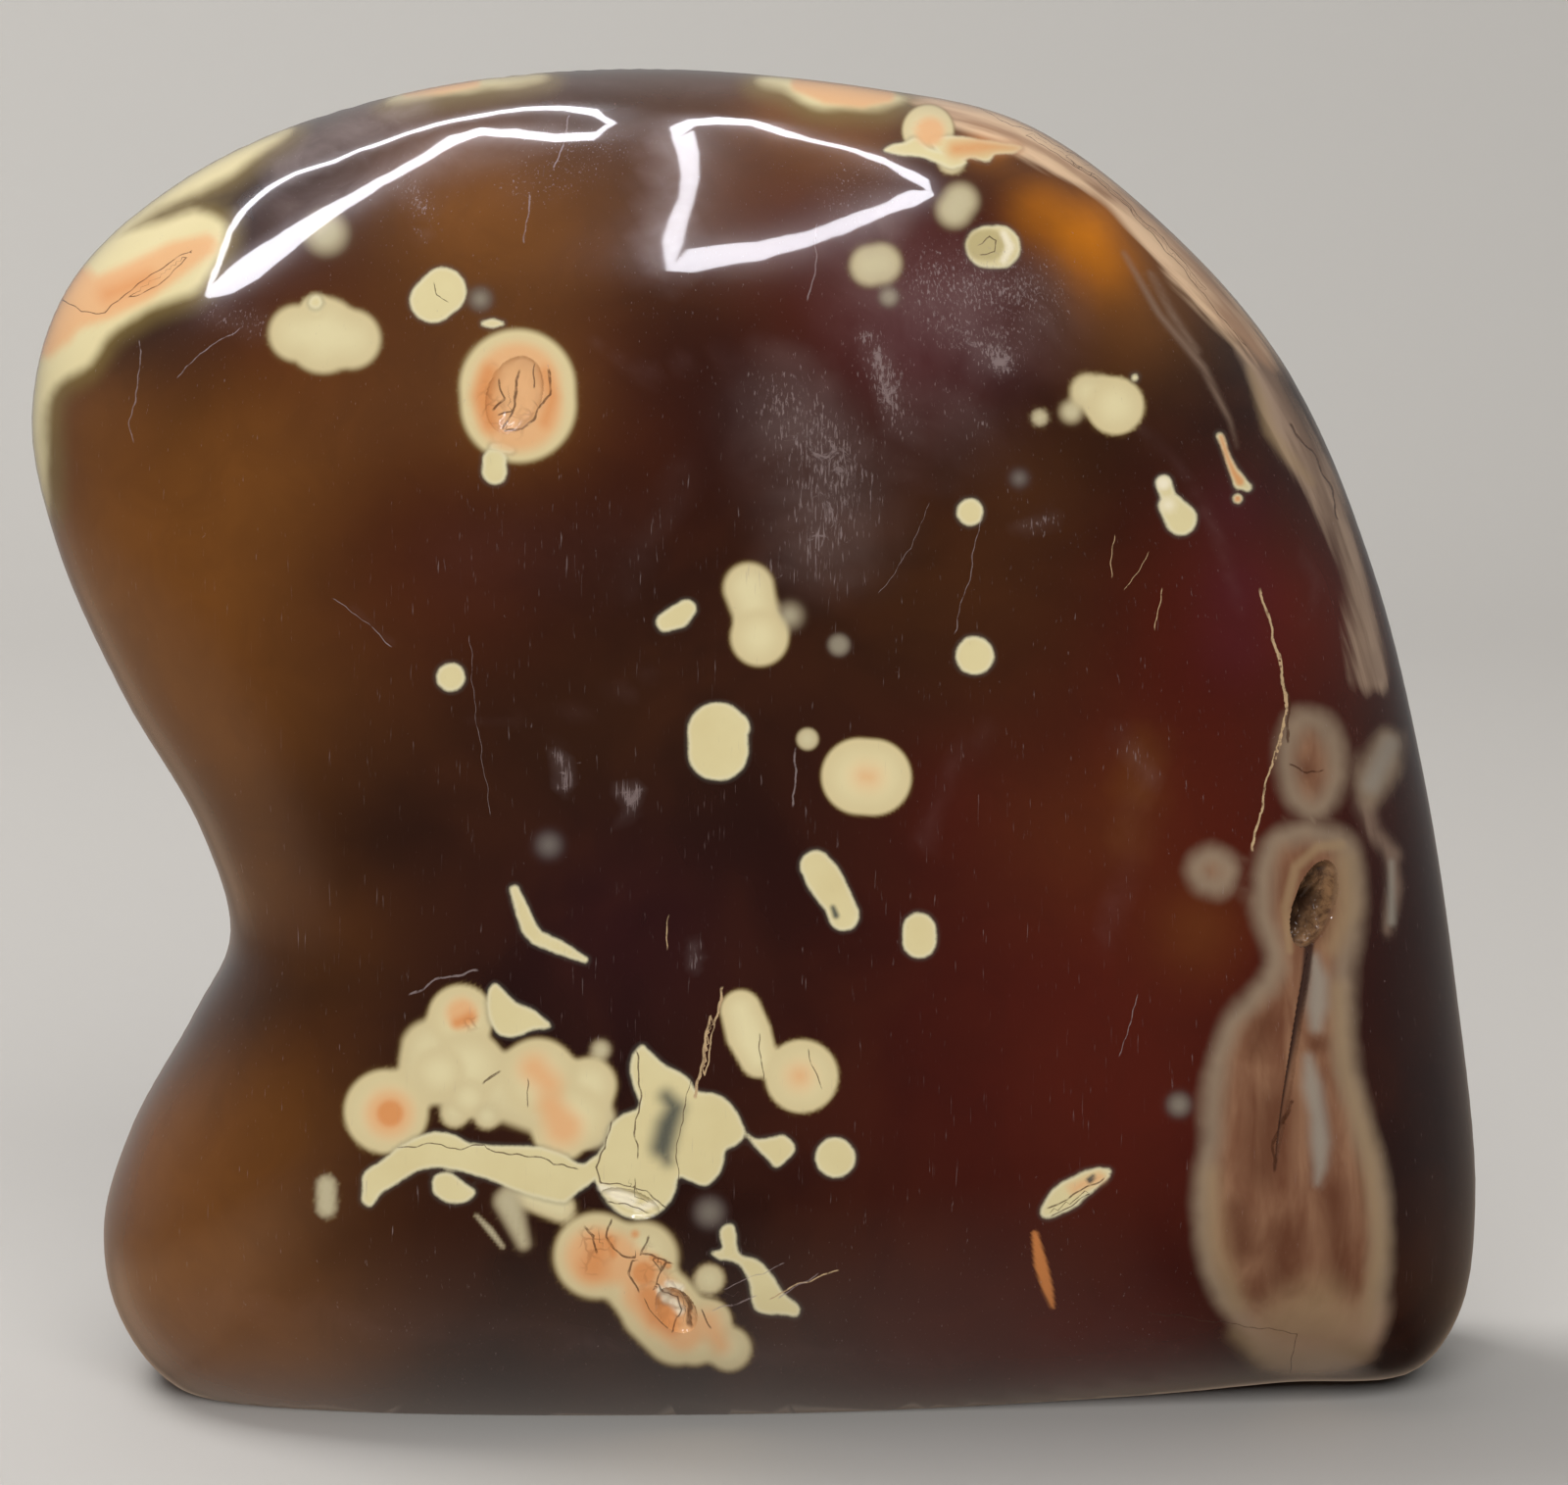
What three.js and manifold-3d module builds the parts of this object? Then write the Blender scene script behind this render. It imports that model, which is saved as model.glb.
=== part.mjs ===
// A polished agate freeform: one standing pebble of dark agate, ground by hand to a broad
// domed front, a rounded right end, a waisted left side and a flat foot to stand on, then
// polished all over. A few crystal-lined pits and one fissure break the polished skin.
// Millimetres, +Z up. The broad front faces -Y, and the origin is on the foot, below the
// middle of the stone's box.
import * as THREE from "three";
import { mergeVertices } from "three/addons/utils/BufferGeometryUtils.js";
import Module from "manifold-3d";

// Driving dimensions
const FRONT_DEPTH = 19.6; // from the middle plane to the crown of the front face
const BACK_DEPTH = 19.0; // from the middle plane to the crown of the back face
const TOP_THINNING = 0.26; // share of the depth lost from the foot to the top
const LEFT_THINNING = 0.14; // share of the depth lost from the right end to the left
const FULLNESS = 2.3; // 2 rounds the skin over as an ellipse, and more makes it blunter
const HEART = new THREE.Vector2(2, 45); // middle of the front and back faces, as x and z
const OUTLINE_PARTS = 360; // equal lengths that the outline is divided into
const SKIN_DETAIL = 19; // how finely the stone's skin is divided

// The girdle is the stone's outline, where its skin turns from front to back, clockwise from
// the lower left as seen from the front. Each knot has x, how far back it lies (y), z, and the
// rounding: how far in from the girdle the skin takes to come level with the face.
// The stretch below z = 0 is ground away to make the foot.
const GIRDLE = [
  [-39.2, 0.5, -0.5, 22],
  [-43.2, 0.5, 4.4, 22],
  [-44.2, 0.0, 10.5, 22],
  [-42.2, -1.0, 17.3, 19],
  [-37.7, -2.5, 25.4, 16],
  [-34.9, -4.0, 31.4, 14],
  [-36.8, -4.0, 38.6, 14],
  [-42.0, -3.0, 47.4, 17],
  [-46.5, -2.0, 57.4, 21],
  [-48.2, -1.0, 66.2, 25],
  [-45.6, 0.0, 74.8, 28],
  [-37.0, 0.5, 82.3, 30],
  [-24.0, 1.0, 87.2, 30],
  [-9.0, 1.0, 89.0, 30],
  [8.5, 1.0, 87.7, 30],
  [18.7, 1.2, 85.3, 30],
  [28.6, 1.5, 78.0, 30],
  [36.5, 2.0, 68.7, 30],
  [42.3, 2.5, 55.6, 29],
  [46.0, 3.0, 41.5, 28],
  [48.4, 3.0, 27.0, 28],
  [49.9, 2.5, 12.0, 27],
  [48.8, 2.0, 4.4, 26],
  [45.5, 2.0, 0.3, 26],
  [36.0, 1.5, -0.4, 25],
  [24.0, 1.5, -1.7, 24],
  [0.0, 1.0, -4.2, 24],
  [-26.0, 1.0, -4.0, 23],
];

// Pits and chips that break the polish on the front, by x and z of the middle. Each is an
// ellipsoid with a length, a width and a depth, and its top leans to the right by its lean.
const PITS = [
  { x: 37.4, z: 34.7, length: 5.9, width: 3.0, depth: 2.4, lean: 14 }, // crystal-lined pit of the right end
  { x: -15.1, z: 68.2, length: 5.1, width: 3.5, depth: 0.8, lean: 20 }, // crater of the ringed nodule
  { x: -4.7, z: 8.4, length: 3.5, width: 2.4, depth: 1.1, lean: -30 }, // crater of the lower nodule
  { x: -7.7, z: 15.4, length: 4.0, width: 1.7, depth: 0.5, lean: -72 }, // chip on the cream cluster
];
const FISSURE = { x: 35.6, z: 25.1, length: 13.5, width: 0.7, depth: 1.0, lean: 9.5 };

const wasm = await Module();
wasm.setup();

// The rounding's curve has the same spacing of knots as the girdle's, so one parameter reads both.
const girdleCurve = new THREE.CatmullRomCurve3(
  GIRDLE.map(([x, y, z]) => new THREE.Vector3(x, y, z)),
  true,
);
const roundingCurve = new THREE.CatmullRomCurve3(
  GIRDLE.map(([, , , rounding]) => new THREE.Vector3(rounding, 0, 0)),
  true,
);

const outline = [];
for (let i = 0; i <= OUTLINE_PARTS; i++) {
  const t = girdleCurve.getUtoTmapping(i / OUTLINE_PARTS);
  const p = girdleCurve.getPoint(t);
  outline.push({ x: p.x, z: p.z, setback: p.y, rounding: roundingCurve.getPoint(t).x });
}

// The outline read from inside it: how far away it is, its setback and its rounding. Every part
// of it counts, by the inverse fourth power of its distance, so the readings change smoothly
// all over the face, and a straight outline gives its true distance.
function readOutline(x, z) {
  let total = 0;
  let setback = 0;
  let rounding = 0;
  for (let i = 0; i < OUTLINE_PARTS; i++) {
    const from = outline[i];
    const to = outline[i + 1];
    const length = Math.hypot(to.x - from.x, to.z - from.z);
    const ux = (to.x - from.x) / length;
    const uz = (to.z - from.z) / length;
    const start = (from.x - x) * ux + (from.z - z) * uz;
    const end = start + length;
    const aside = Math.max(1e-3, Math.abs((from.x - x) * uz - (from.z - z) * ux));
    const square = aside * aside;
    const turned = (Math.atan(end / aside) - Math.atan(start / aside)) / aside;
    const weight = (turned + end / (square + end * end) - start / (square + start * start)) / square;
    total += weight;
    setback += (weight * (from.setback + to.setback)) / 2;
    rounding += (weight * (from.rounding + to.rounding)) / 2;
  }
  return {
    distance: (Math.PI / total) ** (1 / 3),
    setback: setback / total,
    rounding: rounding / total,
  };
}

// The skin at x and z: crown is the depth of the face's middle, below zero for the front.
function skinPoint(x, z, crown) {
  const { distance, setback, rounding } = readOutline(x, z);
  const short = Math.max(0, 1 - distance / rounding);
  const fall = (1 - short ** FULLNESS) ** (1 / FULLNESS);
  const thinned = 1 - (TOP_THINNING * (z - HEART.y) - LEFT_THINNING * x) / (2 * HEART.y);
  return new THREE.Vector3(x, setback * short * short + crown * thinned * fall, z);
}

// The outward normal of the front skin.
function frontNormal(x, z) {
  const step = 0.5;
  const along = skinPoint(x + step, z, -FRONT_DEPTH).sub(skinPoint(x - step, z, -FRONT_DEPTH));
  const up = skinPoint(x, z + step, -FRONT_DEPTH).sub(skinPoint(x, z - step, -FRONT_DEPTH));
  return along.cross(up).normalize();
}

// A direction from the heart, taken to the skin. Its turn about the Y axis picks a point of the
// outline, and its angle from that axis runs from a face's middle out to the girdle.
function groundPoint(direction) {
  const firstTurn = Math.atan2(outline[0].z - HEART.y, outline[0].x - HEART.x);
  const turn = (firstTurn - Math.atan2(direction.z, direction.x)) / (2 * Math.PI);
  const place = (turn - Math.floor(turn)) * OUTLINE_PARTS;
  const from = outline[Math.floor(place)];
  const to = outline[Math.floor(place) + 1];
  const share = place - Math.floor(place);
  const fromAxis = Math.acos(Math.min(1, Math.abs(direction.y)));
  const evened = fromAxis - 0.28 * Math.sin(2 * fromAxis); // keeps the points evenly spread
  const reach = Math.sin(evened) / Math.hypot(Math.sin(evened) ** 1.5, Math.cos(evened) ** 1.5) ** (2 / 3);
  return skinPoint(
    THREE.MathUtils.lerp(HEART.x, THREE.MathUtils.lerp(from.x, to.x, share), reach),
    THREE.MathUtils.lerp(HEART.y, THREE.MathUtils.lerp(from.z, to.z, share), reach),
    direction.y < 0 ? -FRONT_DEPTH : BACK_DEPTH,
  );
}

function solidOf(geometry) {
  const bare = new THREE.BufferGeometry();
  bare.setAttribute("position", geometry.getAttribute("position"));
  bare.setIndex(geometry.getIndex());
  const merged = mergeVertices(bare, 1e-4);
  return new wasm.Manifold(
    new wasm.Mesh({
      numProp: 3,
      vertProperties: merged.getAttribute("position").array,
      triVerts: new Uint32Array(merged.getIndex().array),
    }),
  );
}

function geometryOf(solid) {
  const mesh = solid.getMesh();
  const geometry = new THREE.BufferGeometry();
  geometry.setAttribute("position", new THREE.BufferAttribute(mesh.vertProperties, 3));
  geometry.setIndex(new THREE.BufferAttribute(mesh.triVerts, 1));
  geometry.computeVertexNormals();
  return geometry;
}

function groundStone() {
  const geometry = new THREE.IcosahedronGeometry(1, SKIN_DETAIL);
  const position = geometry.getAttribute("position");
  for (let i = 0; i < position.count; i++) {
    const p = groundPoint(new THREE.Vector3().fromBufferAttribute(position, i).normalize());
    position.setXYZ(i, p.x, p.y, p.z);
  }
  return solidOf(geometry);
}

// Takes away all that is below z = 0.
function footCutter() {
  const size = 200;
  return solidOf(new THREE.BoxGeometry(size, size, size).translate(0, 0, -size / 2));
}

// An ellipsoid sunk in the front skin, square to the skin there.
function hollowCutter({ x, z, length, width, depth, lean }) {
  const normal = frontNormal(x, z);
  const leaning = new THREE.Vector3(0, 0, 1).applyAxisAngle(
    new THREE.Vector3(0, 1, 0),
    THREE.MathUtils.degToRad(lean),
  );
  const across = new THREE.Vector3().crossVectors(leaning, normal).normalize();
  const along = new THREE.Vector3().crossVectors(normal, across);
  const place = new THREE.Matrix4().makeBasis(
    along.multiplyScalar(length / 2),
    across.multiplyScalar(width / 2),
    normal.multiplyScalar(-depth),
  );
  place.setPosition(skinPoint(x, z, -FRONT_DEPTH));
  const geometry = new THREE.SphereGeometry(1, 20, 12);
  return solidOf(geometry.applyMatrix4(place));
}

function agate() {
  let solid = groundStone().subtract(footCutter());
  for (const hollow of [...PITS, FISSURE]) solid = solid.subtract(hollowCutter(hollow));
  const geometry = geometryOf(solid);
  geometry.computeBoundingBox();
  const middle = geometry.boundingBox.getCenter(new THREE.Vector3());
  geometry.translate(-middle.x, -middle.y, 0);
  const material = new THREE.MeshStandardMaterial({ color: 0x3a1f18, roughness: 0.12, metalness: 0 });
  const mesh = new THREE.Mesh(geometry, material);
  mesh.name = "agate_stone";
  return mesh;
}

const freeform = new THREE.Group();
freeform.add(agate());

export default freeform;
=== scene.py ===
"""The looks of a polished agate freeform.

One piece of stone: a glassy ground skin over dark brown and red chalcedony, with cream and
peach nodules, tan patches on the right end, cracks, pits lined with crystals, and the fine
scratches of handling. Places on its front are given as the camera sees them, in pixels of a
1600 by 1515 picture, and sizes in millimetres.
"""
import math
from collections import namedtuple
from functools import partial

import bpy
import numpy as np
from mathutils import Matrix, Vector


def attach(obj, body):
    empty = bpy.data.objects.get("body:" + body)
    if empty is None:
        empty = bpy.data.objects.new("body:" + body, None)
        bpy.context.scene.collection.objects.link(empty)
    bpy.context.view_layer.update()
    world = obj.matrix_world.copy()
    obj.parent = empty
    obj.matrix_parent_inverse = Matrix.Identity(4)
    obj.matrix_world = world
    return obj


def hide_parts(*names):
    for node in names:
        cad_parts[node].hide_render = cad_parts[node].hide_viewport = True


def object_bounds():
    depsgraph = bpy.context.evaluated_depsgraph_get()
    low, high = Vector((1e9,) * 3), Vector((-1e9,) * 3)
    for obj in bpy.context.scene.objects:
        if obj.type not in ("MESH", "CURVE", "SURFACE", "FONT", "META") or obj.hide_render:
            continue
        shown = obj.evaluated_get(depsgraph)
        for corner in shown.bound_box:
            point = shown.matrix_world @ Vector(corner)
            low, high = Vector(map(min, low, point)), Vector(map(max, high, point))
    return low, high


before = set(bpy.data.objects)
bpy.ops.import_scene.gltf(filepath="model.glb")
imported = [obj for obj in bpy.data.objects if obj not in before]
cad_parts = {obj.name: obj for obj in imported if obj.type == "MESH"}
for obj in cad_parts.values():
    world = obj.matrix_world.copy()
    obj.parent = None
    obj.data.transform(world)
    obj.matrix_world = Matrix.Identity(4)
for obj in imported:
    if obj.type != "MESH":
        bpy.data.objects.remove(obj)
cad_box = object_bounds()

MM = 0.001

# The camera, which also says where a place on the picture lies on the stone
PICTURE = (1600, 1515)
LENS_MM, SENSOR_MM = 135.0, 36.0
PIXELS_PER_SLOPE = LENS_MM / SENSOR_MM * PICTURE[0]
CAMERA_DISTANCE = 400.0
CAMERA_RISE = math.radians(7.0)
CAMERA_AIM = np.array([1.5, 0.0, 43.5])
PIXELS_PER_MM = 15.6  # at the front of the stone

# The form of the stone, as in its solid
FRONT_DEPTH = 19.6
BACK_DEPTH = 19.0
TOP_THINNING = 0.26
LEFT_THINNING = 0.14
FULLNESS = 2.3
HEART = np.array([2.0, 45.0])
OUTLINE_PARTS = 360
CURVE_SAMPLES = 4001  # that the outline is measured by, to divide it evenly
LEAST_GAP = 1e-4  # knots nearer than this count as one
LEAST_ASIDE = 1e-3  # the outline is read as if from at least this far beside its line, in mm
POINTS_AT_ONCE = 8192  # that many points are read in one go, to spare memory
GIRDLE = np.array([  # x, setback, z, rounding
    [-39.2, 0.5, -0.5, 22], [-43.2, 0.5, 4.4, 22], [-44.2, 0.0, 10.5, 22], [-42.2, -1.0, 17.3, 19],
    [-37.7, -2.5, 25.4, 16], [-34.9, -4.0, 31.4, 14], [-36.8, -4.0, 38.6, 14], [-42.0, -3.0, 47.4, 17],
    [-46.5, -2.0, 57.4, 21], [-48.2, -1.0, 66.2, 25], [-45.6, 0.0, 74.8, 28], [-37.0, 0.5, 82.3, 30],
    [-24.0, 1.0, 87.2, 30], [-9.0, 1.0, 89.0, 30], [8.5, 1.0, 87.7, 30], [18.7, 1.2, 85.3, 30],
    [28.6, 1.5, 78.0, 30], [36.5, 2.0, 68.7, 30], [42.3, 2.5, 55.6, 29], [46.0, 3.0, 41.5, 28],
    [48.4, 3.0, 27.0, 28], [49.9, 2.5, 12.0, 27], [48.8, 2.0, 4.4, 26], [45.5, 2.0, 0.3, 26],
    [36.0, 1.5, -0.4, 25], [24.0, 1.5, -1.7, 24], [0.0, 1.0, -4.2, 24], [-26.0, 1.0, -4.0, 23],
])


def through_knots(knots, t):
    """The closed centripetal Catmull-Rom curve through the knots, at t from 0 to 1."""
    count = len(knots)
    place = np.asarray(t) * count
    whole = np.floor(place).astype(int)
    share = (place - whole)[:, None]
    p0, p1, p2, p3 = (knots[(whole + i) % count] for i in (-1, 0, 1, 2))

    def gap(a, b):
        return np.sqrt(np.linalg.norm(b - a, axis=1))[:, None]

    d0, d1, d2 = gap(p0, p1), gap(p1, p2), gap(p2, p3)
    d1 = np.where(d1 < LEAST_GAP, 1.0, d1)
    d0 = np.where(d0 < LEAST_GAP, d1, d0)
    d2 = np.where(d2 < LEAST_GAP, d1, d2)
    leave = ((p1 - p0) / d0 - (p2 - p0) / (d0 + d1) + (p2 - p1) / d1) * d1
    arrive = ((p2 - p1) / d1 - (p3 - p1) / (d1 + d2) + (p3 - p2) / d2) * d1
    square = -3 * p1 + 3 * p2 - 2 * leave - arrive
    cube = 2 * p1 - 2 * p2 + leave + arrive
    return p1 + leave * share + square * share**2 + cube * share**3


def even_steps(knots, parts):
    """The curve's parameter at equal steps of length."""
    fine = np.linspace(0, 1, CURVE_SAMPLES)
    points = through_knots(knots, fine)
    length = np.concatenate([[0], np.cumsum(np.linalg.norm(np.diff(points, axis=0), axis=1))])
    return np.interp(np.linspace(0, length[-1], parts + 1), length, fine)


OUTLINE_AT = even_steps(GIRDLE[:, :3], OUTLINE_PARTS)
OUTLINE = through_knots(GIRDLE[:, :3], OUTLINE_AT)
ROUNDING = through_knots(GIRDLE[:, 3:], OUTLINE_AT)[:, 0]


def read_outline(x, z):
    """Distance from the outline, setback and rounding, with near parts of it counting most."""
    start, end = OUTLINE[:-1, [0, 2]], OUTLINE[1:, [0, 2]]
    length = np.linalg.norm(end - start, axis=1)
    ux, uz = ((end - start) / length[:, None]).T
    setback = (OUTLINE[:-1, 1] + OUTLINE[1:, 1]) / 2
    rounding = (ROUNDING[:-1] + ROUNDING[1:]) / 2
    readings = np.empty((len(x), 3))
    for low in range(0, len(x), POINTS_AT_ONCE):
        part = slice(low, low + POINTS_AT_ONCE)
        dx = start[:, 0] - x[part, None]
        dz = start[:, 1] - z[part, None]
        near = dx * ux + dz * uz
        far = near + length
        aside = np.maximum(LEAST_ASIDE, np.abs(dx * uz - dz * ux))
        square = aside * aside
        turned = (np.arctan(far / aside) - np.arctan(near / aside)) / aside
        weight = (turned + far / (square + far * far) - near / (square + near * near)) / square
        total = weight.sum(axis=1)
        readings[part, 0] = np.cbrt(math.pi / total)
        readings[part, 1] = weight @ setback / total
        readings[part, 2] = weight @ rounding / total
    return readings.T


def skin_depth(x, z, crown):
    """The y of the skin at x and z, where crown is the depth of the face's middle."""
    distance, setback, rounding = read_outline(x, z)
    short = np.maximum(0, 1 - distance / rounding)
    fall = (1 - short**FULLNESS) ** (1 / FULLNESS)
    thinned = 1 - (TOP_THINNING * (z - HEART[1]) - LEFT_THINNING * x) / (2 * HEART[1])
    return setback * short**2 + crown * thinned * fall


def skin_points(directions):
    """Directions on the unit sphere taken to the stone's skin, in millimetres."""
    turn = math.atan2(OUTLINE[0, 2] - HEART[1], OUTLINE[0, 0] - HEART[0])
    turn = (turn - np.arctan2(directions[:, 2], directions[:, 0])) / (2 * math.pi) % 1.0
    place = turn * OUTLINE_PARTS
    whole = np.minimum(place.astype(int), OUTLINE_PARTS - 1)
    share = (place - whole)[:, None]
    rim = OUTLINE[whole][:, [0, 2]] * (1 - share) + OUTLINE[whole + 1][:, [0, 2]] * share
    from_axis = np.arccos(np.minimum(1, np.abs(directions[:, 1])))
    evened = from_axis - 0.28 * np.sin(2 * from_axis)  # keeps the points evenly spread
    out, deep = np.sin(evened), np.cos(evened)
    reach = (out / np.cbrt(out**1.5 + deep**1.5) ** 2)[:, None]
    x, z = (HEART * (1 - reach) + rim * reach).T
    crown = np.where(directions[:, 1] < 0, -FRONT_DEPTH, BACK_DEPTH)
    return np.column_stack([x, skin_depth(x, z, crown), z])


def off_centre():
    """How far the middle of the skin's box is from the origin, which the solid moves it to."""
    step = 1.5
    turns, tilts = np.radians(np.meshgrid(np.arange(0, 360, step), np.arange(-90, 91, step)))
    flat = np.cos(tilts)
    directions = np.stack([flat * np.cos(turns), np.sin(tilts), flat * np.sin(turns)], axis=-1)
    points = skin_points(directions.reshape(-1, 3))
    return (points.min(axis=0) + points.max(axis=0)) / 2 * np.array([1, 1, 0])


OFF_CENTRE = off_centre()


def ground_points(directions):
    """Directions on the unit sphere taken to the skin where the solid has it, in millimetres."""
    return skin_points(directions) - OFF_CENTRE


def seen_from_camera():
    """The camera's place, and the directions to its back and its top."""
    back = np.array([0.0, -math.cos(CAMERA_RISE), math.sin(CAMERA_RISE)])
    up = np.array([0.0, math.sin(CAMERA_RISE), math.cos(CAMERA_RISE)])
    return CAMERA_AIM + back * CAMERA_DISTANCE, back, up


def in_picture(points):
    """Where the camera sees points of the stone, in pixels."""
    eye, back, up = seen_from_camera()
    seen = points - eye
    depth = seen @ -back
    return np.column_stack([
        PICTURE[0] / 2 + PIXELS_PER_SLOPE * seen[:, 0] / depth,
        PICTURE[1] / 2 - PIXELS_PER_SLOPE * (seen @ up) / depth,
    ])


FRONT_LIES = (-30.0, 6.0)  # the y, in mm, that the front skin lies between
HALVINGS = 30  # of that span, to find where a line of sight meets the skin


def on_front(pixels):
    """The skin that the camera sees at pixels of the picture, with its normals and the sight lines."""
    eye, back, up = seen_from_camera()
    across, down = (np.array(pixels, float)[:, :2] - np.array(PICTURE) / 2).T
    sight = np.outer(across, (1, 0, 0)) - np.outer(down, up) - back * PIXELS_PER_SLOPE
    sight /= np.linalg.norm(sight, axis=1)[:, None]
    low, high = (np.full(len(sight), end) for end in FRONT_LIES)
    for _ in range(HALVINGS):
        y = (low + high) / 2
        point = eye + sight * ((y - eye[1]) / sight[:, 1])[:, None]
        x, z = point[:, 0] + OFF_CENTRE[0], point[:, 2]
        inside = y > skin_depth(x, z, -FRONT_DEPTH) - OFF_CENTRE[1]
        low, high = np.where(inside, low, y), np.where(inside, y, high)
    step = 0.3
    slope_x = skin_depth(x + step, z, -FRONT_DEPTH) - skin_depth(x - step, z, -FRONT_DEPTH)
    slope_z = skin_depth(x, z + step, -FRONT_DEPTH) - skin_depth(x, z - step, -FRONT_DEPTH)
    normal = np.column_stack([slope_x, np.full(len(x), -2 * step), slope_z])
    return point, normal / np.linalg.norm(normal, axis=1)[:, None], sight


# Marks on the front. Each is a chain of round spots (pixel x, pixel y, radius in mm), joined up.
# Nodules that the polish cuts through: cream, with a clean edge
CUT_NODULES = [
    [(442, 306, 1.5), (452, 297, 1.52)], [(505, 470, 0.8), (505, 481, 0.82)],
    [(504, 456, 0.26), (512, 457, 0.34), (521, 459, 0.24)], [(508, 446, 0.28)],
    [(1007, 252, 1.36), (1019, 252, 1.4)], [(494, 330, 0.15), (503, 330, 0.28), (513, 330, 0.12)],
    [(990, 522, 0.86)], [(1188, 493, 0.5), (1191, 503, 0.5)], [(1196, 517, 0.85), (1205, 530, 1.05)],
    [(679, 635, 0.62), (692, 629, 0.76), (701, 621, 0.6)], [(995, 669, 1.25)], [(460, 691, 0.92)],
    [(733, 747, 1.95), (733, 766, 1.95)], [(750, 742, 1.0)],
    [(832, 884, 1.0), (840, 896, 1.15), (856, 922, 0.95), (861, 934, 1.0)],
    [(938, 949, 1.08), (938, 960, 1.1)],
    [(525, 908, 0.33), (540, 946, 0.5), (548, 956, 0.5), (570, 966, 0.46), (597, 979, 0.2)],
    [(852, 1181, 1.28)], [(322, 308, 0.4)], [(1158, 385, 0.22)],
    [(1110, 1200, 0.3), (1121, 1198, 0.45), (1131, 1195, 0.2)],
    [(1245, 445, 0.22), (1253, 467, 0.2), (1259, 481, 0.28), (1265, 492, 0.38), (1273, 497, 0.24)],
    [(1263, 509, 0.24)],
]
# The same, where they are ragged: outlines in pixels
CUT_OUTLINES = [
    # leaf above the cluster
    [(499, 1012), (505, 1004), (513, 1010), (526, 1023), (545, 1031), (561, 1047), (545, 1050), (524, 1058),
     (507, 1053), (499, 1034)],
    # long band of the cluster
    [(370, 1212), (372, 1196), (389, 1185), (410, 1169), (437, 1156), (459, 1156), (480, 1166), (518, 1169),
     (551, 1170), (572, 1177), (594, 1188), (606, 1181), (622, 1176), (622, 1200), (608, 1203), (599, 1210),
     (590, 1216), (576, 1226), (560, 1224), (540, 1218), (524, 1213), (502, 1204), (475, 1196),
     (448, 1191), (426, 1193), (405, 1207), (389, 1218), (378, 1231), (370, 1226)],
    # fragment under the band
    [(443, 1201), (456, 1196), (475, 1207), (485, 1217), (475, 1226), (456, 1226), (443, 1217)],
    # body of the cluster, with its upper leaf and right lobe
    [(647, 1074), (656, 1066), (665, 1074), (680, 1087), (692, 1093), (704, 1102), (710, 1113), (731, 1117),
     (746, 1128), (755, 1143), (760, 1155), (752, 1167), (740, 1173), (737, 1188), (731, 1200), (719, 1209),
     (704, 1204), (693, 1201), (689, 1215), (683, 1227), (671, 1239), (653, 1244), (635, 1240), (620, 1227),
     (611, 1212), (605, 1197), (608, 1182), (617, 1167), (623, 1149), (635, 1138), (650, 1132), (653, 1125),
     (647, 1110), (643, 1092)],
    # its tail
    [(758, 1152), (770, 1162), (788, 1161), (800, 1159), (809, 1167), (810, 1174), (800, 1185), (792, 1190),
     (782, 1180), (770, 1168)],
    # jagged sliver at the lower right of the cluster
    [(735, 1257), (740, 1251), (747, 1250), (750, 1260), (752, 1275), (758, 1282), (767, 1284), (779, 1291),
     (791, 1305), (800, 1320), (816, 1335), (813, 1343), (800, 1341), (776, 1339), (770, 1335), (767, 1323),
     (764, 1308), (755, 1290), (743, 1285), (734, 1284), (727, 1278), (737, 1274)],
    # pointed white sliver at the upper right edge
    [(902, 153), (912, 148), (925, 146), (934, 141), (946, 150), (962, 154), (978, 158), (985, 166),
     (972, 172), (955, 166), (938, 160), (918, 158)],
    # scalloped sliver beside it
    [(950, 143), (972, 139), (1000, 143), (1022, 146), (1042, 150), (1034, 156), (1016, 157), (1008, 164),
     (990, 160), (976, 166), (960, 158)],
    # fibrous sliver at the lower right
    [(1062, 1238), (1068, 1222), (1080, 1208), (1096, 1200), (1110, 1194), (1128, 1192), (1133, 1199),
     (1124, 1208), (1110, 1220), (1096, 1232), (1078, 1240), (1066, 1243)],
]
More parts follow.
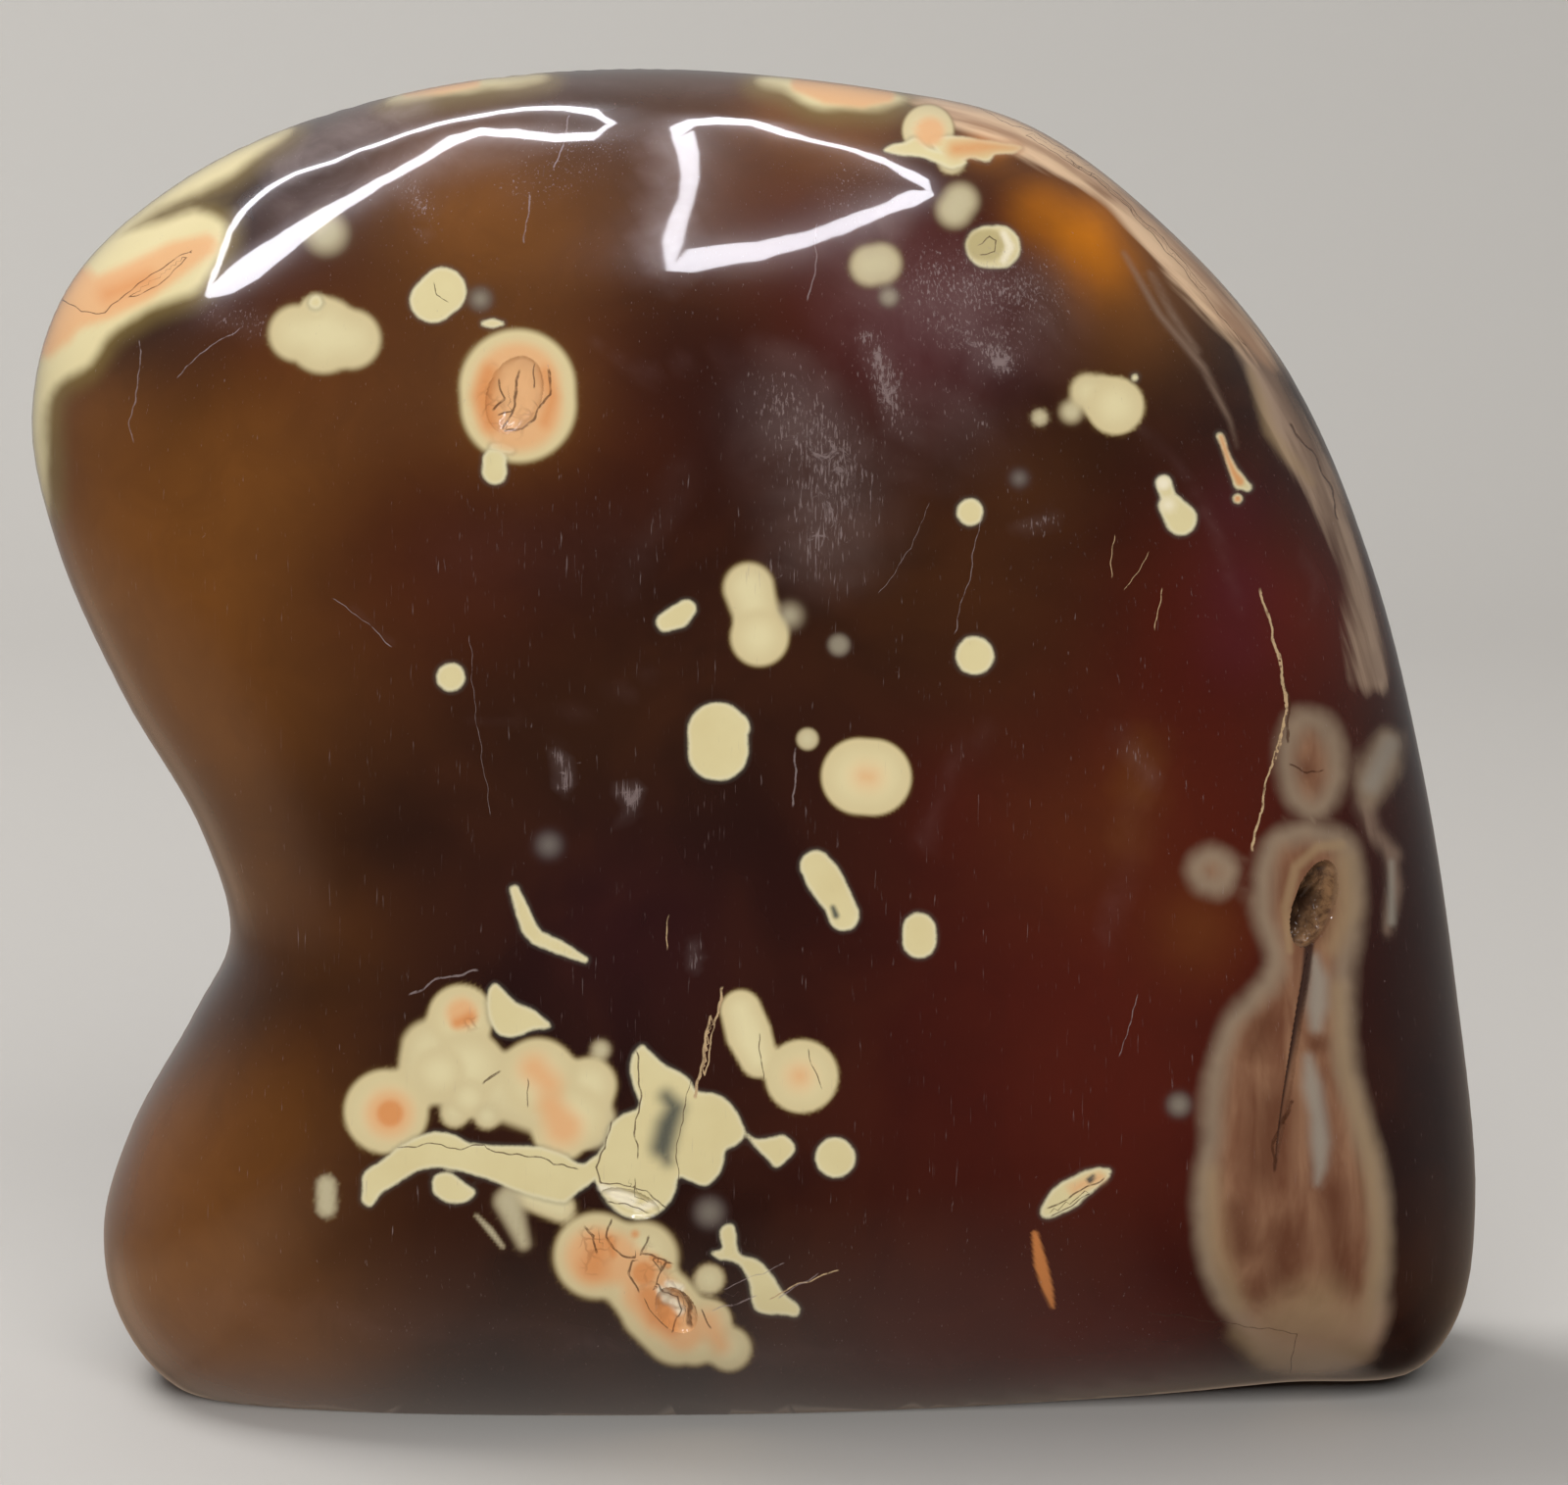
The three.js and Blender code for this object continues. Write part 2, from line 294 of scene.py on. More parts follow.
# Nodules under the skin, in the order they lie over each other: chain, softness of the edge in
# mm, and how deep they lie, from 0 to 1
SUNK_NODULES = [
    ([(333, 238, 1.35)], 1.4, 0.5), ([(303, 340, 1.8), (330, 342, 2.45), (358, 346, 1.9)], 0.8, 0.1),
    ([(322, 312, 0.75)], 0.5, 0.1), ([(490, 305, 0.7)], 1.2, 0.8),
    ([(528, 395, 3.72), (529, 413, 3.7)], 0.8, 0.0), ([(974, 214, 1.15), (980, 205, 1.15)], 1.0, 0.4),
    ([(888, 271, 1.3), (899, 269, 1.3)], 0.8, 0.3), ([(907, 303, 0.6)], 0.8, 0.7),
    ([(1093, 420, 0.7)], 0.9, 0.35), ([(1110, 399, 1.1), (1118, 402, 1.3)], 0.7, 0.12),
    ([(1138, 414, 1.85)], 0.5, 0.06), ([(1061, 426, 0.55)], 0.5, 0.4), ([(1040, 488, 0.5)], 1.2, 0.9),
    ([(806, 628, 0.8)], 1.3, 0.6), ([(764, 600, 1.6), (770, 622, 1.45)], 0.7, 0.08),
    ([(775, 650, 1.85)], 0.6, 0.06), ([(856, 658, 0.72)], 0.6, 0.75), ([(824, 754, 0.7)], 0.4, 0.3),
    ([(877, 792, 2.45), (891, 793, 2.45)], 0.5, 0.04), ([(560, 862, 0.8)], 1.4, 0.93),
    ([(724, 1237, 0.95)], 1.4, 0.88), ([(333, 1209, 0.68), (333, 1232, 0.68)], 0.5, 0.45),
    ([(1203, 1127, 0.75)], 1.1, 0.85),
    ([(756, 1031, 1.3), (764, 1055, 1.45), (774, 1080, 1.2)], 0.5, 0.04),
    ([(818, 1098, 2.35)], 0.5, 0.04), ([(613, 1071, 0.62)], 0.7, 0.4), ([(608, 1150, 1.3)], 1.0, 0.35),
    ([(450, 1088, 2.4), (500, 1106, 2.0), (560, 1118, 2.6), (592, 1136, 2.0)], 1.0, 0.12),
    ([(441, 1072, 2.0), (432, 1100, 1.6)], 0.9, 0.1), ([(470, 1038, 2.1)], 0.6, 0.06),
    ([(394, 1134, 2.7)], 0.7, 0.05), ([(478, 1088, 2.3)], 0.7, 0.08), ([(448, 1094, 1.7)], 0.6, 0.08),
    ([(464, 1136, 0.9)], 0.6, 0.14), ([(478, 1120, 1.2)], 0.6, 0.1), ([(497, 1139, 0.8)], 0.6, 0.16),
    ([(601, 1107, 1.75)], 0.7, 0.08), ([(549, 1099, 2.5)], 0.7, 0.06),
    ([(584, 1141, 2.25), (572, 1158, 1.7)], 0.7, 0.05),
    ([(530, 1214, 0.9), (552, 1226, 0.8), (572, 1232, 0.9)], 0.7, 0.12),
    ([(518, 1226, 0.9), (526, 1246, 0.7), (534, 1268, 0.45)], 0.8, 0.45),
    ([(486, 1240, 0.12), (500, 1255, 0.22), (513, 1272, 0.15)], 0.3, 0.5),
    ([(744, 1376, 1.4)], 0.7, 0.12), ([(724, 1305, 0.95)], 0.6, 0.2), ([(609, 1281, 2.75)], 0.8, 0.06),
    ([(655, 1283, 2.3)], 0.9, 0.08),
    ([(652, 1312, 2.1), (672, 1332, 2.5), (692, 1354, 2.4), (708, 1362, 1.9)], 0.8, 0.06),
    ([(724, 1348, 1.4)], 0.6, 0.1), ([(947, 133, 1.65)], 0.4, 0.08), ([(971, 163, 0.9)], 0.5, 0.1),
]
# Peach hearts of the nodules: chain and softness
PEACH_HEARTS = [
    ([(528, 393, 2.8), (529, 416, 2.85)], 0.8), ([(882, 792, 0.5), (888, 793, 0.5)], 1.8),
    ([(816, 1098, 0.7)], 1.5), ([(397, 1136, 1.55)], 1.0), ([(471, 1034, 1.0)], 0.7),
    ([(545, 1090, 0.9), (560, 1106, 0.8)], 1.3), ([(562, 1128, 0.8), (575, 1150, 1.2)], 1.2),
    ([(607, 1282, 1.9), (625, 1284, 1.7), (640, 1290, 1.1)], 0.9),
    ([(655, 1299, 1.4), (662, 1318, 1.7), (678, 1338, 1.7), (697, 1358, 1.3)], 0.8),
    ([(722, 1350, 0.9), (736, 1372, 0.5)], 1.1), ([(949, 134, 0.95)], 0.5),
    ([(74, 318, 1.2), (102, 305, 1.45), (140, 288, 1.4), (180, 264, 1.15), (210, 250, 0.7)], 0.6),
    ([(80, 290, 1.2), (58, 335, 1.2), (46, 352, 0.8)], 0.6),
    ([(415, 93, 0.35), (450, 88, 0.5), (485, 84, 0.3)], 0.4),
    ([(815, 86, 0.5), (845, 92, 0.9), (880, 95, 0.95), (905, 97, 0.5)], 0.4),
    ([(1095, 1213, 0.3), (1122, 1201, 0.3)], 0.6),
]
# Orange and brown deepest in the hearts
ORANGE_HEARTS = [
    ([(556, 380, 0.3), (564, 405, 0.35), (556, 430, 0.3)], 0.9),
    ([(499, 380, 0.5), (492, 404, 0.7), (500, 432, 0.5)], 0.9), ([(398, 1136, 0.85)], 0.35),
    ([(466, 1044, 0.3), (480, 1038, 0.35)], 0.5), ([(606, 1292, 0.9), (612, 1270, 0.7)], 1.2),
    ([(648, 1259, 0.25)], 0.3), ([(622, 1266, 0.3), (626, 1280, 0.2)], 0.3), ([(657, 1299, 0.75)], 0.3),
    ([(662, 1322, 0.7), (672, 1340, 0.8), (686, 1354, 0.5)], 0.7),
    ([(666, 1283, 0.22), (682, 1291, 0.22)], 0.2),
    ([(1246, 446, 0.14), (1253, 468, 0.14), (1259, 482, 0.2), (1265, 491, 0.28)], 0.25),
    ([(1263, 509, 0.2)], 0.15),
    ([(1056, 1259, 0.2), (1062, 1290, 0.42), (1069, 1315, 0.34), (1074, 1333, 0.12)], 0.15),
    ([(150, 285, 0.4), (110, 300, 0.4)], 1.4),
    ([(975, 152, 0.5), (1000, 150, 0.5), (1018, 150, 0.3), (1038, 151, 0.15)], 0.9),
]
# Outlines of the cream rind that wraps the top left, and of the tan patches of the right end
CREAM_PATCHES = [
    [(232, 230), (206, 292), (152, 316), (113, 342), (90, 374), (62, 392), (49, 412), (49, 480),
     (46, 530), (10, 500), (0, 380), (30, 290), (62, 250), (110, 238), (160, 226), (200, 214)],
    [(298, 130), (262, 160), (230, 184), (192, 200), (150, 222), (100, 262), (50, 250), (150, 165),
     (230, 130)],
    [(772, 82), (800, 92), (825, 108), (860, 111), (905, 110), (925, 100), (880, 80), (800, 70)],
    [(395, 104), (450, 97), (500, 90), (560, 78), (520, 66), (420, 84)],
]
TAN_PATCHES = [
    [(1290, 858), (1279, 930), (1293, 985), (1252, 1035), (1233, 1083), (1225, 1155), (1218, 1250),
     (1233, 1312), (1270, 1366), (1300, 1396), (1340, 1402), (1395, 1389), (1414, 1346), (1420, 1274),
     (1414, 1202), (1395, 1131), (1381, 1059), (1381, 987), (1390, 939), (1392, 880), (1372, 848),
     (1325, 840)],
    [(1308, 745), (1301, 785), (1315, 822), (1342, 836), (1366, 815), (1372, 765), (1356, 730),
     (1328, 724)],
    [(1384, 800), (1392, 770), (1412, 746), (1430, 750), (1428, 780), (1412, 810), (1396, 826)],
    [(1237, 864), (1255, 871), (1262, 889), (1255, 907), (1237, 914), (1219, 907), (1212, 889),
     (1219, 871)],
]
# The salmon band along the upper right edge, and the greyer ribbon that carries on below it
EDGE_BANDS = [
    [(925, 82), (1000, 98), (1060, 120), (1120, 158), (1185, 220), (1240, 280), (1290, 348),
     (1304, 384), (1284, 371), (1269, 355), (1242, 330), (1215, 303), (1192, 280), (1170, 251),
     (1152, 229), (1130, 204), (1107, 190), (1080, 177), (1050, 160), (1010, 138), (965, 122),
     (930, 108)],
]
EDGE_RIBBONS = [
    [(1290, 340), (1318, 396), (1345, 445), (1366, 490), (1376, 520), (1388, 560), (1399, 600),
     (1412, 645), (1418, 680), (1414, 700), (1400, 710), (1382, 698), (1376, 660), (1371, 618),
     (1363, 573), (1349, 537), (1331, 503), (1310, 470), (1293, 438), (1284, 402), (1272, 370),
     (1264, 352)],
]
# Thin bands and wisps: chain and softness
TAN_BANDS = [
    ([(1419, 872, 0.35), (1423, 905, 0.45), (1417, 948, 0.35)], 0.6),
    ([(1392, 822, 0.6), (1400, 848, 0.45), (1422, 872, 0.4)], 0.8),
    ([(1147, 258, 0.1), (1183, 321, 0.16), (1228, 375, 0.2), (1255, 429, 0.12), (1262, 456, 0.05)], 0.4),
    ([(1174, 280, 0.1), (1197, 321, 0.2), (1222, 358, 0.1)], 0.5),
    ([(1398, 672, 0.5), (1405, 690, 0.4)], 0.9),
]
# Pale lines and brown stains inside the tan patches
PALE_LINES = [
    ([(1341, 978, 0.3), (1345, 1000, 0.6), (1344, 1025, 0.66), (1343, 1046, 0.4)], 0.75),
    ([(1335, 1080, 0.25), (1339, 1108, 0.6), (1345, 1138, 0.5), (1347, 1165, 0.6), (1347, 1190, 0.4),
     (1344, 1206, 0.15)], 0.75),
    ([(1418, 760, 0.5), (1400, 800, 0.5)], 0.9), ([(1420, 880, 0.15), (1420, 940, 0.25)], 0.4),
]
# Yellow rind of the tan patches, and one broad patch of painted light
YELLOW_RIND_AND_PAINTED_LIGHT = [
    ([(1316, 970, 0.2), (1312, 925, 0.3), (1322, 885, 0.3), (1345, 864, 0.3), (1368, 862, 0.35)], 0.35),
    ([(1372, 880, 0.7), (1374, 930, 0.7), (1360, 965, 0.5)], 1.2),
    ([(1365, 1010, 0.4), (1372, 1090, 0.4), (1398, 1180, 0.5), (1408, 1270, 0.5),
     (1395, 1350, 0.5)], 1.2),
    ([(1262, 1362, 0.5), (1290, 1384, 0.9), (1340, 1390, 0.9), (1388, 1376, 0.7)], 1.0),
    ([(1276, 378, 0.2), (1288, 412, 0.4), (1296, 440, 0.4), (1314, 464, 0.35), (1338, 492, 0.2)], 0.5),
    ([(1236, 1200, 0.4), (1240, 1270, 0.6), (1262, 1330, 0.6)], 1.4),
    # Painted light: a broad paler lift of the bottom of the right end, where the skin turns under
    ([(1345, 1335, 1.8), (1305, 1352, 1.4), (1365, 1350, 1.6)], 2.4),
]
BROWN_STAINS = [
    ([(1290, 1045, 0.9), (1280, 1070, 0.6)], 1.4), ([(1262, 1235, 0.8), (1268, 1270, 0.9)], 1.2),
    ([(1345, 1065, 0.6)], 0.8), ([(1300, 1130, 1.2), (1290, 1190, 1.2)], 2.0),
    ([(1312, 1265, 1.3), (1304, 1305, 0.8)], 2.0), ([(1360, 1220, 0.8), (1368, 1310, 0.9)], 1.6),
    ([(1332, 783, 0.5)], 1.0), ([(1350, 900, 0.8), (1345, 950, 0.6)], 1.2),
]
# White crystal faces in the chip and the crater, the white of one nodule, and a painted highlight on the
# right rim of the khaki disc
WHITE_FACETS_AND_GLINT = [
    ([(614, 1211, 0.2), (628, 1219, 0.45), (643, 1226, 0.45)], 0.35),
    ([(650, 1235, 0.2), (668, 1229, 0.25)], 0.3),
    ([(674, 1316, 0.25), (681, 1330, 0.35), (694, 1342, 0.3)], 0.3),
    ([(682, 1310, 0.25), (694, 1314, 0.25)], 0.25), ([(1187, 493, 0.4)], 0.35),
    # The second on the next line is a painted highlight on the right rim of the khaki disc.
    ([(1192, 515, 0.35)], 0.7), ([(1024, 238, 0.2), (1031, 252, 0.25), (1024, 266, 0.2)], 0.25),
]
# Painted shade: the dark inside of the shallow fissure
FISSURE_SHADES = [
    ([(1337, 952, 0.34), (1332, 1000, 0.27), (1321, 1065, 0.2), (1309, 1130, 0.1),
     (1301, 1192, 0.04)], 0.2),
]
# Khaki stone inside a nodule, with a painted highlight along its right rim
KHAKI_CORES = [
    ([(1002, 250, 1.0), (1009, 250, 1.05)], 0.3),
]
# Places where the heart of a nodule has parted into small pieces, as bark does
BARKED = [
    ([(603, 1262, 0.7), (608, 1290, 0.9), (624, 1272, 0.7)], 0.5),
    ([(655, 1280, 1.0), (668, 1302, 1.3), (688, 1345, 1.3)], 0.6),
    ([(512, 380, 0.9), (506, 410, 1.1), (518, 432, 1.2), (545, 400, 0.7)], 0.6),
    ([(480, 1044, 0.5)], 0.4), ([(720, 1345, 0.5)], 0.4),
]
# Windows in the cream where the dark stone shows
DARK_WINDOWS = [
    ([(680, 1119, 0.4), (689, 1131, 0.6), (681, 1149, 0.75), (676, 1170, 0.75), (681, 1184, 0.3)], 1.0),
    ([(1112, 1204, 0.2), (1116, 1200, 0.12)], 0.15), ([(850, 926, 0.15), (853, 934, 0.2)], 0.25),
]
# Glows of light in the body: pixel x, pixel y, radius in mm, strength
HONEY_GLOWS = [
    (100, 560, 7, 0.9), (190, 600, 7, 0.75), (250, 480, 6, 0.75), (215, 750, 6, 0.6),
    (330, 700, 8, 0.25), (480, 215, 6, 0.95), (560, 240, 5, 0.6), (360, 400, 8, 0.45),
    (870, 125, 4, 0.7), (1160, 310, 5, 0.7), (1010, 135, 2.4, 0.9), (150, 1180, 7, 0.85),
    (270, 1150, 7, 0.5), (170, 1310, 8, 0.85), (300, 1400, 7, 0.5), (1168, 765, 1.3, 0.3),
    (1160, 805, 1.5, 0.35), (1150, 855, 1.3, 0.25), (720, 180, 7, 0.4), (240, 900, 5, 0.45),
    (525, 404, 5, 0.8), (620, 470, 8, 0.05), (600, 730, 9, 0.1), (95, 430, 4.5, 0.6),
    (150, 700, 4.5, 0.5), (1050, 640, 7, 0.1), (1060, 480, 5, 0.15), (850, 100, 4, 0.6),
    (920, 600, 8, 0.12), (1225, 950, 3, 0.3), (800, 108, 2.5, 0.8), (1110, 850, 6, 0.15),
    (340, 960, 5, 0.2), (250, 1400, 5, 0.4), (150, 1290, 5, 0.4),
]
AMBER_GLOWS = [
    (1108, 235, 2.2, 0.95), (1062, 212, 2.2, 0.55), (1130, 268, 2.4, 0.5), (1010, 140, 1.6, 0.45),
]
RED_GLOWS = [
    (1120, 940, 14, 0.65), (1230, 820, 10, 0.6), (1010, 1150, 13, 0.4), (1180, 1390, 5, 0.7),
    (1090, 1400, 5, 0.7), (960, 1400, 6, 0.4), (1240, 620, 8, 0.6), (900, 300, 7, 0.6),
    (970, 820, 4, 0.35), (800, 220, 6, 0.5), (1330, 640, 5, 0.6), (1180, 1150, 9, 0.6),
    (1295, 625, 3.5, 0.9), (1250, 960, 3, 0.7), (960, 280, 5, 0.5), (300, 350, 6, 0.35),
    (430, 560, 10, 0.3), (620, 420, 10, 0.25),
]
PLUM_GLOWS = [
    (1258, 520, 2.5, 0.4), (1262, 600, 2.5, 0.5), (1262, 660, 2.5, 0.4), (930, 330, 5, 0.4),
    (1000, 330, 6, 0.3), (640, 950, 8, 0.2),
]
# Smoky veils in the clear stone: chain and softness
VEILS = [
    ([(610, 350, 0.1), (650, 384, 0.12), (780, 356, 0.16), (830, 370, 0.12), (850, 400, 0.1)], 0.5),
    ([(480, 735, 0.1), (560, 738, 0.15), (630, 710, 0.15), (662, 685, 0.1)], 0.6),
    ([(870, 455, 0.3), (930, 490, 0.4), (975, 500, 0.2)], 1.0),
    ([(940, 860, 0.2), (975, 780, 0.3), (1010, 745, 0.1)], 1.2),
    ([(1130, 960, 0.2), (1150, 860, 0.4), (1175, 790, 0.3)], 1.4),
    ([(1145, 420, 0.1), (1200, 470, 0.2), (1240, 540, 0.2), (1265, 620, 0.1)], 0.8),
    ([(1330, 560, 0.1), (1345, 600, 0.2), (1330, 640, 0.1)], 0.5),
    ([(360, 620, 0.1), (400, 655, 0.12)], 0.4),
    ([(200, 1330, 0.2), (400, 1350, 0.3), (700, 1380, 0.3), (1000, 1390, 0.2)], 1.6),
]
# Cracks, as lines of pixels with a width in mm. The last is no crack but a painted shadow beside the gold
# hairline.
CRACKS_AND_SHADOW_LINE = [
    ([(66, 308), (82, 318), (108, 319), (131, 298), (161, 276), (190, 258)], 0.06),
    ([(130, 303), (152, 298), (170, 284), (184, 272), (192, 262)], 0.05),
    ([(560, 383), (562, 401), (552, 415), (545, 428), (532, 437), (522, 439)], 0.14),
    ([(528, 384), (524, 402), (521, 420), (516, 431)], 0.14),
    ([(510, 392), (514, 405), (506, 413)], 0.12), ([(545, 377), (544, 388)], 0.08),
    ([(512, 421), (521, 417)], 0.1), ([(413, 1170), (440, 1167), (470, 1172), (488, 1169)], 0.07),
    ([(500, 1173), (540, 1181), (552, 1179), (565, 1187), (584, 1192)], 0.08),
    ([(622, 1150), (618, 1172), (608, 1190), (611, 1203)], 0.09),
    ([(650, 1080), (654, 1112), (648, 1155), (650, 1175)], 0.09), ([(499, 1102), (506, 1096)], 0.12),
    ([(538, 1108), (539, 1122)], 0.06), ([(775, 1062), (778, 1095)], 0.06),
    ([(826, 1078), (836, 1106)], 0.06), ([(600, 1256), (606, 1262), (608, 1272)], 0.12),
    ([(622, 1249), (619, 1262), (626, 1274), (634, 1281), (643, 1282)], 0.13),
    ([(659, 1268), (655, 1278), (664, 1281), (680, 1287), (676, 1294)], 0.12),
    ([(645, 1290), (642, 1299), (648, 1312)], 0.12), ([(668, 1288), (673, 1298), (669, 1310)], 0.08),
    ([(672, 1311), (678, 1322), (690, 1330), (695, 1344), (690, 1352)], 0.1),
    ([(661, 1330), (668, 1343), (676, 1350)], 0.06), ([(719, 1341), (722, 1348)], 0.08),
    ([(698, 1325), (704, 1338), (704, 1350)], 0.3), ([(445, 296), (447, 302), (451, 305)], 0.05),
    ([(1003, 246), (1009, 241), (1016, 246), (1014, 256), (1006, 258)], 0.06),
    ([(616, 1207), (640, 1210), (658, 1214), (675, 1228)], 0.07),
    ([(626, 1228), (642, 1232), (656, 1236)], 0.07), ([(648, 1208), (646, 1222), (656, 1225)], 0.05),
    ([(704, 1108), (696, 1140), (690, 1180), (692, 1200)], 0.05),
    ([(1322, 783), (1332, 789), (1343, 786)], 0.1), ([(1316, 1130), (1300, 1165), (1300, 1190)], 0.16),
    ([(1180, 1340), (1322, 1360), (1318, 1395)], 0.04),
    ([(1074, 1231), (1100, 1216), (1120, 1205)], 0.08), ([(1078, 1238), (1105, 1222)], 0.07),
    ([(1050, 140), (1100, 170), (1150, 210), (1196, 262), (1240, 315), (1268, 348)], 0.035),
    ([(1090, 160), (1140, 196), (1186, 243), (1228, 292)], 0.03),
    ([(1000, 112), (1060, 138), (1110, 165)], 0.03),
    ([(1319, 438), (1341, 465), (1359, 501), (1364, 524)], 0.1),
    # painted shadow beside the gold hairline
    ([(1309, 690), (1316, 718), (1314, 752)], 0.14),
]
# The gold hairline of the right side, with the beads of dry stone in long scratches
GOLD_LINES = [
    ([(1287, 607), (1297, 640), (1303, 668), (1310, 696), (1313, 722), (1308, 752), (1294, 790),
     (1279, 862)], 0.14),
    ([(1300, 650), (1308, 680), (1312, 740), (1298, 772), (1285, 830)], 0.07),
    ([(736, 1014), (732, 1030), (729, 1046)], 0.14),
    ([(724, 1042), (719, 1070), (715, 1090), (711, 1114)], 0.17),
    ([(730, 1046), (724, 1070), (720, 1092)], 0.08), ([(1136, 552), (1134, 582)], 0.04),
    ([(1168, 570), (1152, 596)], 0.035), ([(1184, 608), (1180, 636)], 0.05),
    ([(790, 1322), (814, 1310), (850, 1298)], 0.08), ([(680, 962), (682, 940)], 0.06),
]
SCRATCHES = [
    ([(1000, 530), (990, 585), (975, 640)], 0.05), ([(540, 205), (536, 240)], 0.08),
    ([(580, 125), (568, 165)], 0.08), ([(143, 355), (141, 395), (131, 430), (135, 445)], 0.06),
    ([(185, 380), (205, 360), (240, 338)], 0.05), ([(800, 1320), (828, 1303)], 0.09),
    ([(735, 1335), (765, 1325)], 0.08), ([(745, 1312), (795, 1292)], 0.06),
    ([(425, 1012), (450, 998), (480, 992)], 0.12), ([(480, 655), (484, 720), (500, 825)], 0.03),
    ([(345, 615), (375, 635), (395, 655)], 0.05), ([(812, 770), (810, 815)], 0.1),
    ([(1160, 1020), (1145, 1070)], 0.05), ([(900, 600), (930, 560), (945, 520)], 0.03),
    ([(833, 235), (831, 285), (826, 300)], 0.08),
]
# Worn places where fine scratches and a dry film lie on the polish; inside the right loop the film is
# painted reflection
SCUFFS_AND_SHEEN = [
    ([(800, 410, 1.5), (850, 480, 2.4), (835, 560, 1.6)], 4.6, 0.85),
    ([(780, 580, 0.6), (870, 590, 0.6)], 1.8, 0.55),
    ([(885, 345, 0.5), (905, 390, 0.9), (922, 440, 0.4)], 1.4, 1.15),
    ([(950, 325, 0.7), (990, 345, 0.9), (1040, 350, 0.8)], 2.2, 0.85),
    ([(955, 400, 0.4), (1000, 430, 0.5)], 2.0, 0.7), ([(1008, 382, 0.3), (1040, 345, 0.4)], 0.5, 1.4),
    ([(570, 770, 0.5), (575, 800, 0.6)], 0.4, 1.1),
    ([(632, 810, 0.5), (655, 806, 0.3), (640, 835, 0.3)], 0.3, 1.1),
    ([(708, 965, 0.4), (708, 990, 0.3)], 0.4, 0.8), ([(1040, 540, 0.4), (1075, 525, 0.3)], 0.6, 0.7),
    ([(215, 320, 0.6), (260, 330, 0.8)], 1.6, 0.6), ([(640, 600, 0.6), (700, 480, 0.6)], 1.5, 0.35),
    ([(480, 560, 3.0), (620, 560, 3.0)], 4.0, 0.12), ([(955, 285, 1.6), (1045, 300, 1.8)], 4.5, 0.85),
    ([(540, 185, 1.5), (600, 165, 1.0)], 3.0, 0.4), ([(1150, 760, 0.6), (1170, 785, 0.6)], 1.0, 0.5),
    # The first mark of the next line lies inside the right loop: its film is painted reflection of a soft
    # light.
    ([(900, 180, 1.6), (860, 200, 2.0)], 1.5, 0.35), ([(560, 140, 1.0), (640, 150, 1.0)], 1.2, 0.35),
    ([(420, 170, 0.3), (430, 240, 0.4)], 0.4, 0.9),
]
# A smooth haze: chain, softness and strength. Over the worn places it is dry film. The first two, the
# one along the left end of the right loop, the one just under the right loop and the one along the top
# edge are painted glare and painted reflection around the bright loops.
HAZES_AND_GLARE = [
    ([(290, 168, 1.0), (345, 140, 0.9), (425, 110, 0.5)], 2.2, 0.85),
    ([(290, 215, 0.8), (400, 180, 0.9), (560, 135, 0.5)], 2.4, 0.5),
    ([(900, 300, 2.4), (985, 325, 3.0), (1055, 325, 2.0)], 6.0, 0.3),
    ([(805, 430, 3.0), (850, 530, 3.4)], 5.5, 0.2), ([(960, 420, 3.0)], 6.0, 0.12),
    ([(676, 262, 0.9), (682, 215, 0.9), (682, 150, 0.6)], 2.4, 0.9), ([(895, 238, 1.6)], 3.0, 0.45),
    ([(520, 88, 0.3), (620, 86, 0.4), (740, 90, 0.3)], 1.6, 0.3),
]

# Marks of the back, which no picture shows: x and z in mm in place of pixels
BACK_CUT_NODULES = [
    [(-22, 62, 1.3)], [(-8, 70, 0.9), (-6, 69, 0.8)], [(12, 58, 1.6)], [(25, 40, 1.0)], [(-14, 34, 1.2)],
    [(3, 22, 2.2), (7, 23, 1.8)], [(10, 19, 1.2), (13, 17, 0.5)], [(-20, 16, 0.8)], [(30, 62, 0.7)],
    [(-30, 70, 0.7)], [(-4, 48, 0.6)], [(18, 30, 0.7)], [(-33, 22, 0.9)], [(24, 14, 0.8), (27, 12, 0.4)],
    [(9, 47, 0.8)], [(11, 45, 0.4)], [(-22, 28, 0.5)], [(-11, 12, 1.1), (-8, 11, 0.8)], [(-38, 56, 0.9)],
]
BACK_SUNK_NODULES = [
    ([(-12, 56, 2.3), (-15, 55, 1.8)], 0.7, 0.1), ([(0, 36, 1.6)], 0.9, 0.45),
    ([(22, 52, 2.6)], 0.6, 0.08), ([(6, 24, 3.2), (0, 20, 2.6), (-5, 21, 1.6)], 0.7, 0.06),
    ([(-28, 50, 1.2)], 1.1, 0.7), ([(15, 74, 1.5)], 0.8, 0.3), ([(-18, 76, 1.2)], 0.9, 0.5),
    ([(34, 28, 1.1)], 0.8, 0.4), ([(-26, 10, 1.4), (-23, 8, 1.0)], 0.6, 0.2),
]
BACK_PEACH_HEARTS = [
    ([(22, 52, 1.5)], 0.7), ([(5, 23, 1.7), (0, 21, 1.0)], 0.8), ([(-13, 56, 1.0)], 0.9),
]
BACK_TAN_PATCHES = [
    [(29, 62), (26, 54), (28, 44), (33, 36), (38, 35), (41, 44), (39, 56), (35, 64)],
    [(27, 10), (31, 19), (40, 20), (41, 10), (33, 6)],
]
BACK_STAINS = [
    ([(33, 54, 1.2), (34, 46, 1.0)], 2.0), ([(36, 40, 0.8)], 1.4), ([(33, 14, 1.2)], 1.8),
]
BACK_HONEY_GLOWS = [
    (-42, 62, 8, 0.7), (-34, 45, 6, 0.5), (-38, 14, 8, 0.6), (-20, 80, 8, 0.5), (14, 78, 6, 0.5),
    (0, 55, 9, 0.25),
]
BACK_RED_GLOWS = [
    (20, 30, 13, 0.5), (34, 50, 10, 0.5), (-8, 20, 12, 0.4), (30, 15, 9, 0.5), (-25, 62, 8, 0.3),
]

